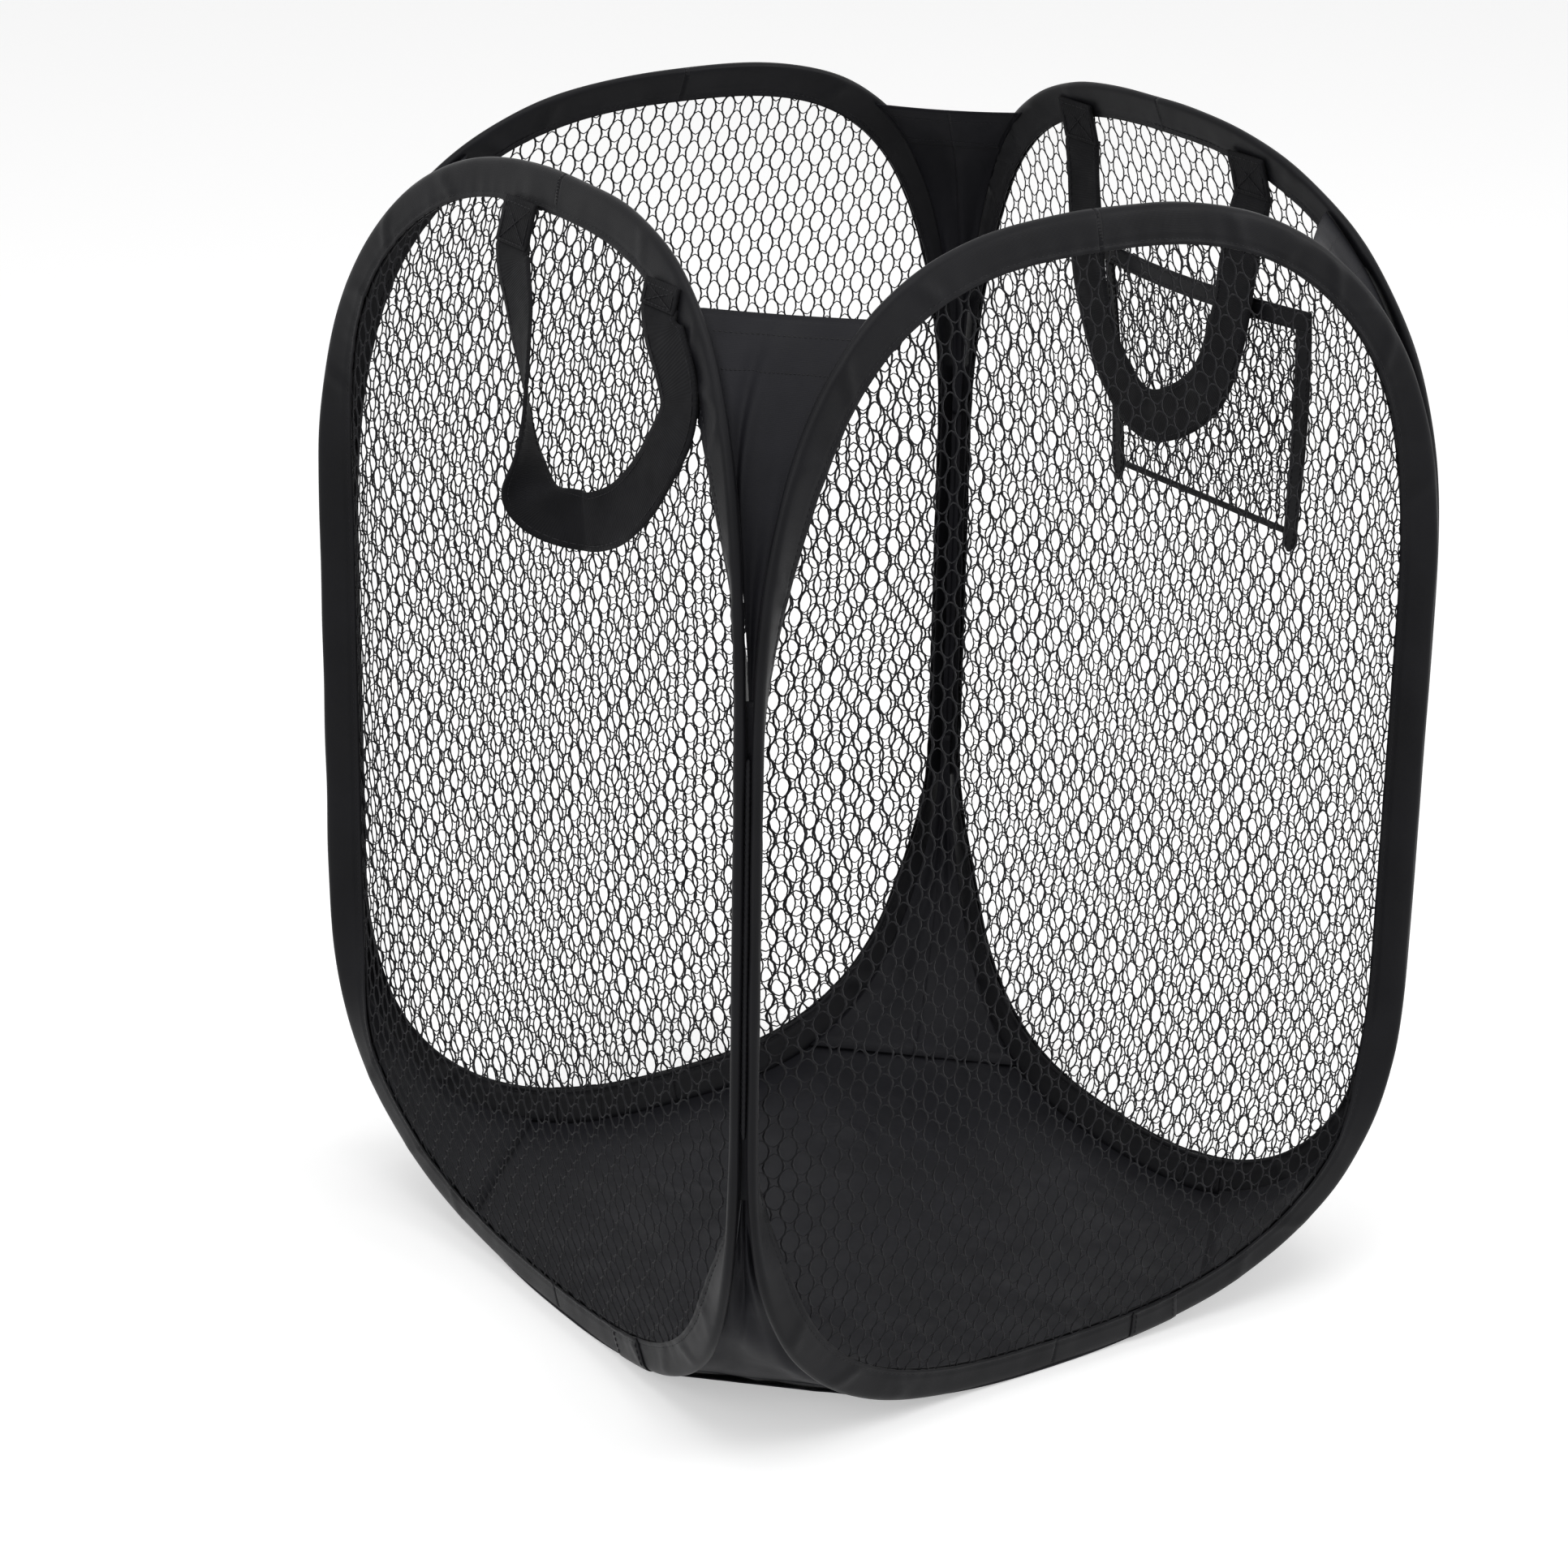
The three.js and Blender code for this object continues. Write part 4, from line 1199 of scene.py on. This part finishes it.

# %% [markdown]
# The upper gussets are three cornered cloths between two hoops, each with its top edge turned in and
# stitched twice. The hem is a second layer, rolled in at the very top. The hem and its stitches are made
# first.

# %% Upper gussets
GUSSET_TIP = 0.350
GUSSET_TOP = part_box("front_left_gusset")[1][2]
GUSSET_SAG, SAG_POWER = 0.002, 1.5
GUSSET_DROOP, DROOP_POWER = 0.0008, 8
TIP_FADE, TOP_FADE = 2.2, 9
GUSSET_GRID = (44, 60)
GUSSET_SPREAD = (0.09, 0.17)
GUSSET_WAVE, GUSSET_WAVE_DEPTH, GUSSET_SEED = 0.06, 0.0011, 120
HEM_DEPTH = 0.023
HEM_TURN = 0.007
HEM_BEHIND = 0.0008
HEM_GRID = (44, 14)
HEM_ENDS = (0.03, 0.97)
HEM_FLATTENING, HEM_ROLL_SHARE = 0.6, 0.15
HEM_STITCH_ENDS = (0.05, 0.95)
HEM_STITCH_INSET = 0.003
TOP_FOLDS = {
    "front_left": [(-0.12, 1.1, 0.07, 0.0022), (-0.02, 1.0, 0.09, -0.0012), (0.9, -0.3, 0.12, 0.0006)],
    "front_right": [(0.3, 0.6, 0.07, 0.0022), (0.5, -0.5, 0.08, -0.0016), (0.72, -0.6, 0.07, 0.002)],
    "back_right": [(0.35, 0.3, 0.11, 0.0010), (0.62, -0.4, 0.12, -0.0008)],
    "back_left": [(0.4, 0.5, 0.09, 0.0018), (0.66, -0.35, 0.1, -0.0014)],
}


def top_place(corner, seed):
    def place(share, rise):
        up = mix(GUSSET_TIP, GUSSET_TOP, rise)
        inside = smooth(rise * TIP_FADE) * away_from_edges(share) * smooth((1 - rise) * TOP_FADE)
        spot = np.stack((share * GUSSET_SPREAD[0], rise * GUSSET_SPREAD[1]), axis=-1)
        wave = uneven_at(spot, GUSSET_WAVE, GUSSET_SEED + seed) * GUSSET_WAVE_DEPTH
        bow = 4 * share * (1 - share)
        inward = GUSSET_SAG * np.clip(rise, 0, 1) ** SAG_POWER * bow
        inward = inward + (wave + fold_lines(share, rise, TOP_FOLDS[corner])) * inside
        droop = GUSSET_DROOP * rise**DROOP_POWER * bow
        return across_corner(corner, up - droop, share, GUSSET_TUCK, GUSSET_BEHIND, inward)
    return place


def make_gusset(corner, seed):
    on_cloth = top_place(corner, seed)
    height = GUSSET_TOP - GUSSET_TIP
    width = cut_of(on_cloth, 0, 1, height)[0][0]
    push = turned(1 / math.sqrt(2), 1 / math.sqrt(2), 0, CORNERS[corner])

    def hem_place(share, rise):
        flattened = HEM_FLATTENING * smooth((rise - 1 + HEM_ROLL_SHARE) / HEM_ROLL_SHARE)
        on_hem = on_cloth(mix(*HEM_ENDS, share), 1 - HEM_DEPTH / height * (1 - rise))
        return on_hem + push * (HEM_BEHIND * (1 - flattened))[..., None]

    hems = corner_cloth("hem", corner, hem_place, HEM_GRID, HEM_DEPTH, [f"{corner}_gusset_hem"])
    trims = []
    for hem, (part, start, end, body) in zip(hems, corner_parts(corner)):
        rows = []
        for drop in (HEM_TURN, HEM_DEPTH - HEM_STITCH_INSET):
            for face in (-1, 1):
                def spot(share, shift, lift):
                    whole = mix(*HEM_STITCH_ENDS, mix(start, end, share))
                    off_cloth = CLOTH_WALL / 2 + lift
                    level = -off_cloth if face < 0 else HEM_BEHIND + off_cloth
                    return on_cloth(whole, 1 - (drop + shift) / height) + push * level[..., None]
                rows.append(stitch_row(width * (end - start), spot))
        stitches = sew(f"{part}_hem_stitches", rows, body, corner)
        if corner == OPEN_CORNER:
            hold_open_corner(stitches, body)
        trims.append([hem, stitches])
    corner_cloth("cloth", corner, on_cloth, GUSSET_GRID, height, [f"{corner}_gusset"], trims)


top_size, top_area = cut_of(top_place("front_left", 0), 0, 1, GUSSET_TOP - GUSSET_TIP)
print("an upper gusset is cut", *(round(size, 3) for size in top_size), "metres, area", round(top_area, 4))

# %% [markdown]
# The lower gussets close the gap below the rounds and meet the bottom cloth. Behind the corded seam a narrow
# strip of cloth joins the tapes of the two hoops, so that no light shows between them.

# %% Lower gussets and seam cloth
BOTTOM_GUSSET_LOW, BOTTOM_GUSSET_TIP = (end[2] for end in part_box("front_left_bottom_gusset"))
BOTTOM_GUSSET_GRID = (40, 44)
BOTTOM_GUSSET_SPREAD = (0.09, 0.15)
BOTTOM_WAVE, BOTTOM_WAVE_DEPTH, BOTTOM_WAVE_SEED = 0.05, 0.0016, 140
LOW_FADE = 7
BOTTOM_FOLDS = [(0.36, 0.3, 0.09, 0.0018), (0.66, -0.4, 0.1, -0.0016)]
SEAM_CLOTH_LOW = 0.145
SEAM_CLOTH_HIGH = 0.376
SEAM_CLOTH_TUCK = 0.0058
SEAM_CLOTH_GRID = (8, 70)


def make_bottom_gusset(corner, seed):
    def place(share, rise):
        up = mix(BOTTOM_GUSSET_LOW, BOTTOM_GUSSET_TIP, rise)
        inside = smooth((1 - rise) * TIP_FADE) * away_from_edges(share) * smooth(rise * LOW_FADE)
        spot = np.stack((share * BOTTOM_GUSSET_SPREAD[0], rise * BOTTOM_GUSSET_SPREAD[1]), axis=-1)
        wave = uneven_at(spot, BOTTOM_WAVE, BOTTOM_WAVE_SEED + seed) * BOTTOM_WAVE_DEPTH
        inward = (wave + fold_lines(share, rise, BOTTOM_FOLDS)) * inside
        return across_corner(corner, up, share, GUSSET_TUCK, GUSSET_BEHIND, inward)

    height = BOTTOM_GUSSET_TIP - BOTTOM_GUSSET_LOW
    trims = [[] for _ in corner_parts(corner)]
    replaced = [f"{corner}_bottom_gusset"]
    corner_cloth("bottom_cloth", corner, place, BOTTOM_GUSSET_GRID, height, replaced, trims)


def make_seam_cloth(corner):
    height = SEAM_CLOTH_HIGH - SEAM_CLOTH_LOW

    def place(share, rise):
        up = mix(SEAM_CLOTH_LOW, SEAM_CLOTH_HIGH, rise)
        return across_corner(corner, up, share, SEAM_CLOTH_TUCK, 0, 0 * share)

    corner_cloth("seam_cloth", corner, place, SEAM_CLOTH_GRID, height, [f"{corner}_seam"])


for seed, corner in enumerate(CORNERS):
    make_gusset(corner, seed)
    make_bottom_gusset(corner, seed)
    make_seam_cloth(corner)
    print(corner, "has its upper cloth, hem and stitches, lower cloth and seam cloth")

# %% [markdown]
# The bottom is a square cloth that lies on the floor inside the four hoops and rises a little into each
# corner, where it meets the lower gussets. It was folded away for a long time, so it is full of low wrinkles.
# When the panels fold, the real cloth creases up between them.

# %% Cloth bottom
BOTTOM_WALL = 0.0008
BOTTOM_CLEARANCE = 0.0012
BOTTOM_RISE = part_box("bottom_panel")[1][2] - BOTTOM_CLEARANCE
BOTTOM_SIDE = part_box("bottom_panel")[1][0]
BOTTOM_STEPS = 110
WRINKLE = 0.0011
WRINKLE_SIZE, WRINKLE_SEED = 0.09, 160
CREASE_SIZE, CREASE_SEED = 0.03, 161
WRINKLE_EDGE = 0.02
RISE_STEPS = 80
rise_heights = np.linspace(0, BOTTOM_RISE, RISE_STEPS)
rise_reaches = edge_at(rise_heights) + PANEL_PLANE - lean_at(rise_heights)


def make_bottom():
    def place(first, second):
        x, y = mix(-BOTTOM_SIDE, BOTTOM_SIDE, first), mix(-BOTTOM_SIDE, BOTTOM_SIDE, second)
        excess = np.maximum(0, np.abs(x) + np.abs(y) - rise_reaches[-1]) / 2
        x, y = x - np.sign(x) * excess, y - np.sign(y) * excess
        spot = np.stack((x, y), axis=-1)
        folds = uneven_at(spot, WRINKLE_SIZE, WRINKLE_SEED)
        folds = folds * uneven_at(spot * (1, 0.5), CREASE_SIZE, CREASE_SEED)
        up = np.interp(np.abs(x) + np.abs(y), rise_reaches, rise_heights) + BOTTOM_WALL / 2
        edge = smooth((BOTTOM_SIDE - np.maximum(np.abs(x), np.abs(y))) / WRINKLE_EDGE)
        return np.stack((x, y, up + WRINKLE * np.abs(folds) * edge), axis=-1)

    size = (2 * BOTTOM_SIDE, 2 * BOTTOM_SIDE)
    mesh = bent_cloth("bottom_cloth", BOTTOM_STEPS, BOTTOM_STEPS, size, place, closed=True)
    piece = finish_piece("bottom_cloth", mesh, "gusset_cloth", "front", ["bottom_panel"])
    thicken(piece, BOTTOM_WALL)
    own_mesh(piece)
    return piece


print(make_bottom().name, round(2 * BOTTOM_SIDE, 3), "metres square")

# %% [markdown]
# The handles are straps sewn to the tape by both ends. The outer one has turned over on itself and hangs
# askew; the inner one hangs flat and straight. Each strap's middle line is a soft curve through a few points,
# given in shares of its span and drop, and the strap's turn is a third share beside them. Its two edges are
# stitched, and the fold of its cloth shows as a rounded edge.

# %% Middle lines of the straps
LENGTH_STEPS = 400
OUTER_STRAP = {
    "centre": 0.037, "span": 0.122, "drop": 0.100,
    "shares": [
        (-0.5, 0, 0), (-0.325, 0.25, 0.1), (-0.165, 0.52, 0.32), (-0.05, 0.77, 0.6), (0.03, 0.95, 1.25),
        (0.215, 1, 2), (0.451, 0.88, 2), (0.648, 0.62, 2), (0.735, 0.32, 2), (0.5, 0, 2),
    ],
}
INNER_STRAP = {
    "centre": 0.002, "span": 0.132, "drop": 0.122,
    "shares": [
        (-0.5, 0, 0), (-0.44, 0.3, 0), (-0.4, 0.56, 0), (-0.3, 0.82, 0), (-0.08, 0.985, 0),
        (0.1, 1, 0), (0.28, 0.84, 0), (0.4, 0.6, 0), (0.46, 0.3, 0), (0.5, 0, 0),
    ],
}
STRAP_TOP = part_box("left_handle")[1][2]


def soft_line(knots, share):
    """A smooth curve through the knots, at shares of its count of steps."""
    knots = np.array(knots, dtype=float)
    line = np.vstack((2 * knots[0] - knots[1], knots, 2 * knots[-1] - knots[-2]))
    step = np.clip(share, 0, 1) * (len(knots) - 1)
    start = np.minimum(step.astype(int), len(knots) - 2)
    part = (step - start)[..., None]
    a, b, c, d = (line[start + shift] for shift in range(4))
    bend = (2 * a - 5 * b + 4 * c - d) * part**2 + (3 * b - a - 3 * c + d) * part**3
    return (2 * b + (c - a) * part + bend) / 2


def strap_length(strap):
    knots = np.array(strap["shares"])[:, :2] * (strap["span"], strap["drop"])
    line = soft_line(knots, np.linspace(0, 1, LENGTH_STEPS))
    return float(np.linalg.norm(np.diff(line, axis=0), axis=1).sum())


for strap_name, strap in (("outer", OUTER_STRAP), ("inner", INNER_STRAP)):
    print(strap_name, "strap", round(strap_length(strap), 3), "metres long between its sewn ends")

# %% [markdown]
# A strap is placed by how far along it, how far across it and how far off its middle a point is. At its ends
# it turns level and tucks under the sewn end.

# %% Handles
STRAP_WIDTH = 0.026
STRAP_WALL = 0.0014
STRAP_GRID = (170, 12)
STRAP_REST = 0.0008
CLEARANCE = 0.0003
STRAP_SEAT = RIDGE_HALF + CLEARANCE + STRAP_REST
STRAP_STITCH = 0.0026
STRAP_TANGENT = 0.002
SWELL, SWELL_SIZE, SWELL_SEED = 0.0004, 0.05, 180
SWELL_SPREAD = (0.4, 0.03)
SEWN_SHARE = 0.05
UNDER_SHARE = 0.005
UNDER_REACH = 0.0022
UNDER_SINK = 0.4
HINGE_HIGH = 0.5235
HINGE_LOW = 0.514


def strap_spot(side, strap, stand_off, share, wide, thick):
    """A place in the strap: a share along it, a distance across it, and a distance off its middle."""
    table = np.array(strap["shares"])
    knots = table * (strap["span"], -strap["drop"], math.pi / 2) + (strap["centre"], STRAP_TOP, 0)
    point = soft_line(knots, share)
    along = soft_line(knots, share + STRAP_TANGENT) - soft_line(knots, share - STRAP_TANGENT)
    along = along[..., :2] / np.linalg.norm(along[..., :2], axis=-1, keepdims=True)
    across = np.stack((-along[..., 1], along[..., 0]), axis=-1)
    level = np.stack((np.sign(across[..., 0]), np.zeros_like(share)), axis=-1)
    sewn = smooth(np.minimum(share, 1 - share) / SEWN_SHARE)[..., None]
    across = mix(level, across, sewn)
    across /= np.linalg.norm(across, axis=-1, keepdims=True)
    turn = point[..., 2]
    flat = wide * np.cos(turn) - thick * np.sin(turn)
    out = wide * np.sin(turn) + thick * np.cos(turn)
    outward = stand_off(point[..., 1], np.abs(np.sin(turn)) * STRAP_WIDTH / 2)
    under = 1 - smooth(np.minimum(share, 1 - share) / UNDER_SHARE)
    place = point[..., :2] + across * flat[..., None]
    outward = outward * (1 - UNDER_SINK * under) + out
    return on_panel(side, place[..., 0], place[..., 1] + UNDER_REACH * under, outward)


def outer_stand_off(up, edge_on):
    """Outside the tape, and further out where the strap stands on edge."""
    return STRAP_SEAT + edge_on


def inner_stand_off(up, edge_on):
    """Inside the tape, hanging straight down from it."""
    return -STRAP_SEAT - (lean_at(STRAP_TOP + CLEARANCE) - lean_at(up))


def make_handle(side, strap, stand_off):
    body = f"{side}_handle"
    length = strap_length(strap)

    def place(share, across):
        wide = (across - 0.5) * STRAP_WIDTH
        spot = np.stack((share * SWELL_SPREAD[0], across * SWELL_SPREAD[1]), axis=-1)
        swell = SWELL * uneven_at(spot, SWELL_SIZE, SWELL_SEED)
        thin = smooth(np.minimum(share, 1 - share) / SEWN_SHARE)
        return strap_spot(side, strap, stand_off, share, wide, swell * thin)

    mesh = bent_cloth(f"{body}_strap", *STRAP_GRID, (length, STRAP_WIDTH), place)
    seat = stand_off(STRAP_TOP, 0)
    high, low = (tuple(on_panel(side, strap["centre"], up, seat)) for up in (HINGE_HIGH, HINGE_LOW))
    hinge = (side, body, high, low)
    piece = finish_piece(mesh.name, mesh, "strap", body, [body], hinge=hinge)
    thicken(piece, STRAP_WALL)
    rows = []
    for edge in (-1, 1):
        for face in (-1, 1):
            def spot(share, shift, lift):
                wide = edge * (STRAP_WIDTH / 2 - STRAP_STITCH) + shift
                return strap_spot(side, strap, stand_off, share, wide, face * (STRAP_WALL / 2 + lift))
            rows.append(stitch_row(length, spot))
    sew(f"{body}_stitches", rows, body, hinge=hinge)
    return piece


for side, strap, stand_off in (
    ("left", OUTER_STRAP, outer_stand_off), ("right", INNER_STRAP, inner_stand_off),
):
    handle = make_handle(side, strap, stand_off)
    print(handle.name, len(handle.data.polygons), "faces")

# %% [markdown]
# Each end of a strap lies flat on the tape and is sewn down with a stitched box. Its last few millimetres are
# turned under, so the end is a little thicker at its top.

# %% Sewn ends of the handles
END_TURN = 0.0003
END_TURN_START, END_TURN_SPAN = 0.55, 0.1
END_GRID = (20, 16)
END_LOW_INSET = 0.0015
END_HIGH_INSET = 0.0022
BOX_LINES = ((0, 1), (1, 2), (2, 3), (3, 0), (0, 2), (3, 1))


def make_end(node, side, outward):
    low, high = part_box(node)
    first, last = sorted((panel_across(side, low), panel_across(side, high)))
    bottom, top = low[2], high[2]

    def place(share, across):
        turned_under = END_TURN * smooth((across - END_TURN_START) / END_TURN_SPAN)
        up = mix(bottom, top, across)
        return on_panel(side, mix(first, last, share), up, outward * (STRAP_SEAT + turned_under))

    mesh = bent_cloth(f"{node}_strap", *END_GRID, (last - first, top - bottom), place)
    piece = finish_piece(mesh.name, mesh, "strap", side, [node])
    thicken(piece, STRAP_WALL)
    left, right = first + STRAP_STITCH, last - STRAP_STITCH
    lower, upper = bottom + END_LOW_INSET, top - END_HIGH_INSET
    box = np.array(((left, lower), (right, lower), (right, upper), (left, upper)))
    rows = []
    for one, other in BOX_LINES:
        start, end = box[one], box[other]
        length = float(np.linalg.norm(end - start))
        beside = np.array((start[1] - end[1], end[0] - start[0])) / length

        def spot(share, shift, lift):
            point = mix(start, end, share[..., None]) + beside * shift[..., None]
            stand = outward * (STRAP_SEAT + STRAP_WALL / 2 + END_TURN + lift)
            return on_panel(side, point[..., 0], point[..., 1], stand)
        rows.append(stitch_row(length, spot))
    sew(f"{node}_stitches", rows, side)


for node, side, outward in (
    ("left_handle_end_back", "left", 1), ("left_handle_end_front", "left", 1),
    ("right_handle_end_front", "right", -1), ("right_handle_end_back", "right", -1),
):
    make_end(node, side, outward)
    print(node, "sewn down")

# %% [markdown]
# The pocket hangs inside the right panel. It is the same net, with a tape band along its top, a narrow tape
# up each side and a seam along its bottom, and it swells away from the panel between them. A narrow tie
# hangs from the hoop's tape to its top corner.

# %% Pocket
POCKET_CENTRE = -0.018
POCKET_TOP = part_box("pocket_top_band")[1][2]
POCKET_BAND = 0.010
POCKET_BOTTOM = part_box("pocket_bottom_seam")[0][2]
POCKET_TOP_HALF = 0.080
POCKET_BOTTOM_HALF = 0.072
POCKET_BULGE = 0.009
POCKET_STAND = 0.0008
POCKET_TAPE = 0.009
POCKET_TRIM = 0.0011
POCKET_TAIL = 0.008
POCKET_SEAM = 0.003
POCKET_EDGE = 0.004
POCKET_YARN_LIFT = 0.0004
POCKET_NET_SEED = 9
STRIP_STITCH_ENDS = (0.02, 0.98)


def pocket_half(up):
    share = (up - POCKET_BOTTOM) / (POCKET_TOP - POCKET_BOTTOM)
    return mix(POCKET_BOTTOM_HALF, POCKET_TOP_HALF, share)


def on_pocket(across, up, depth):
    """A place on the pocket's net, a depth towards the hamper's middle."""
    rise = np.clip((up - POCKET_BOTTOM) / (POCKET_TOP - POCKET_BOTTOM), 0, 1)
    flat = np.clip(1 - (across / pocket_half(up)) ** 2, 0, 1)
    swell = POCKET_BULGE * flat * np.sin(math.pi / 2 * rise)
    return on_panel("right", across + POCKET_CENTRE, up, -(POCKET_STAND + swell + depth))


def make_pocket_net():
    columns = math.ceil(2 * POCKET_TOP_HALF / CELL_WIDTH) + 1
    rows = math.ceil((POCKET_TOP - POCKET_BOTTOM) / CELL_HEIGHT) + 1
    corner = (-columns * CELL_WIDTH / 2, POCKET_BOTTOM)

    def keep(across, up):
        inside = (up > POCKET_BOTTOM + POCKET_SEAM) & (up < POCKET_TOP - POCKET_EDGE)
        return inside & (np.abs(across) < pocket_half(up) - POCKET_EDGE)

    def place(across, up, out):
        return on_pocket(across, up, POCKET_YARN_LIFT - out)

    field = net_field(columns, rows)
    mesh = lay_net("pocket_net_yarn", field, corner, POCKET_NET_SEED, keep, place)
    piece = finish_piece("pocket_net_yarn", mesh, "net", "right", ["pocket_net"])
    return piece


net_piece = make_pocket_net()
print(net_piece.name, len(net_piece.data.polygons), "faces")

# %% [markdown]
# The band, the side tapes and the bottom seam are the same thing in other sizes: a narrow strip that follows
# the pocket's swell, with stitches along it. The side tapes end in small tails below the pocket.

# %% Tapes and seam of the pocket
BAND_WALL, BAND_GRID, BAND_ROWS = 0.0009, (80, 8), (0.18, 0.82)
SIDE_GRID, SIDE_ROWS = (60, 8), (0.2, 0.8)
SEAM_WALL, SEAM_GRID, SEAM_ROWS = 0.0012, (60, 4), (0.5,)
TAIL_ROUND = 0.02
TAIL_POINT = 0.12


def pocket_strip(name, node, grid, size, place, wall, insets):
    """A narrow tape on the pocket, with a stitch row along it at each inset, in shares of its width."""
    mesh = bent_cloth(name, *grid, size, lambda share, across: place(share, across, 0 * share))
    piece = finish_piece(name, mesh, "binding_tape", "right", [node])
    thicken(piece, wall)
    rows = []
    for across in insets:
        def spot(share, shift, lift):
            return place(mix(*STRIP_STITCH_ENDS, share), across + shift / size[1], lift + wall / 2)
        rows.append(stitch_row(size[0], spot))
    sew(f"{name}_stitches", rows, "right")


def make_pocket_band():
    def place(share, across, lift):
        up = mix(POCKET_TOP - POCKET_BAND, POCKET_TOP, across)
        return on_pocket(mix(-1, 1, share) * pocket_half(up), up, POCKET_TRIM + lift)

    size = (2 * POCKET_TOP_HALF, POCKET_BAND)
    pocket_strip("pocket_band", "pocket_top_band", BAND_GRID, size, place, BAND_WALL, BAND_ROWS)


def make_pocket_tape(end, hand):
    low = POCKET_BOTTOM - POCKET_TAIL
    high = POCKET_TOP - POCKET_BAND

    def place(share, across, lift):
        up = mix(low, high - CLEARANCE, share)
        tail = np.clip((up - low) / POCKET_TAIL, 0, 1)
        rounded = np.sqrt(np.clip(1 - (1 - tail) ** 2, TAIL_ROUND, 1))
        narrow = rounded if hand < 0 else mix(TAIL_POINT, 1, tail)
        middle = pocket_half(up) - POCKET_TAPE / 2
        return on_pocket(hand * (middle + (across - 0.5) * POCKET_TAPE * narrow), up, POCKET_TRIM + lift)

    size = (high - low, POCKET_TAPE)
    pocket_strip(f"pocket_{end}_tape", f"pocket_tape_{end}", SIDE_GRID, size, place, BAND_WALL, SIDE_ROWS)


def make_pocket_seam():
    reach = POCKET_BOTTOM_HALF - POCKET_TAPE - CLEARANCE

    def place(share, across, lift):
        up = mix(POCKET_BOTTOM, POCKET_BOTTOM + POCKET_SEAM, across)
        return on_pocket(mix(-1, 1, share) * reach, up, POCKET_TRIM / 2 + lift)

    size = (2 * POCKET_BOTTOM_HALF, POCKET_SEAM)
    pocket_strip("pocket_seam", "pocket_bottom_seam", SEAM_GRID, size, place, SEAM_WALL, SEAM_ROWS)


make_pocket_band()
for end, hand in (("front", -1), ("back", 1)):
    make_pocket_tape(end, hand)
make_pocket_seam()
print("pocket", round(2 * POCKET_TOP_HALF, 3), "by", round(POCKET_TOP - POCKET_BOTTOM, 3), "metres")

# %% Pocket tie
TIE_WIDTH = 0.005
TIE_WALL = 0.0008
TIE_INSIDE = 0.0020
TIE_BOW = 0.0012
TIE_GRID = (24, 4)
tie_low, tie_high = (np.array(point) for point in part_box("pocket_tie"))


def make_tie():
    start = (tie_low[1] + TIE_WIDTH / 2, tie_low[2])
    end = (tie_high[1] - TIE_WIDTH / 2, tie_high[2])

    def place(share, across):
        middle = mix(start[0], end[0], share) + TIE_BOW * np.sin(math.pi * share)
        up = mix(start[1], end[1], share)
        return on_panel("right", middle + (across - 0.5) * TIE_WIDTH, up, -TIE_INSIDE - 0 * share)

    size = (tie_high[2] - tie_low[2], TIE_WIDTH)
    mesh = bent_cloth("pocket_tie_tape", *TIE_GRID, size, place)
    piece = finish_piece("pocket_tie_tape", mesh, "binding_tape", "right", ["pocket_tie"])
    thicken(piece, TIE_WALL)


make_tie()
print("tie from", tie_low.round(3), "to", tie_high.round(3))
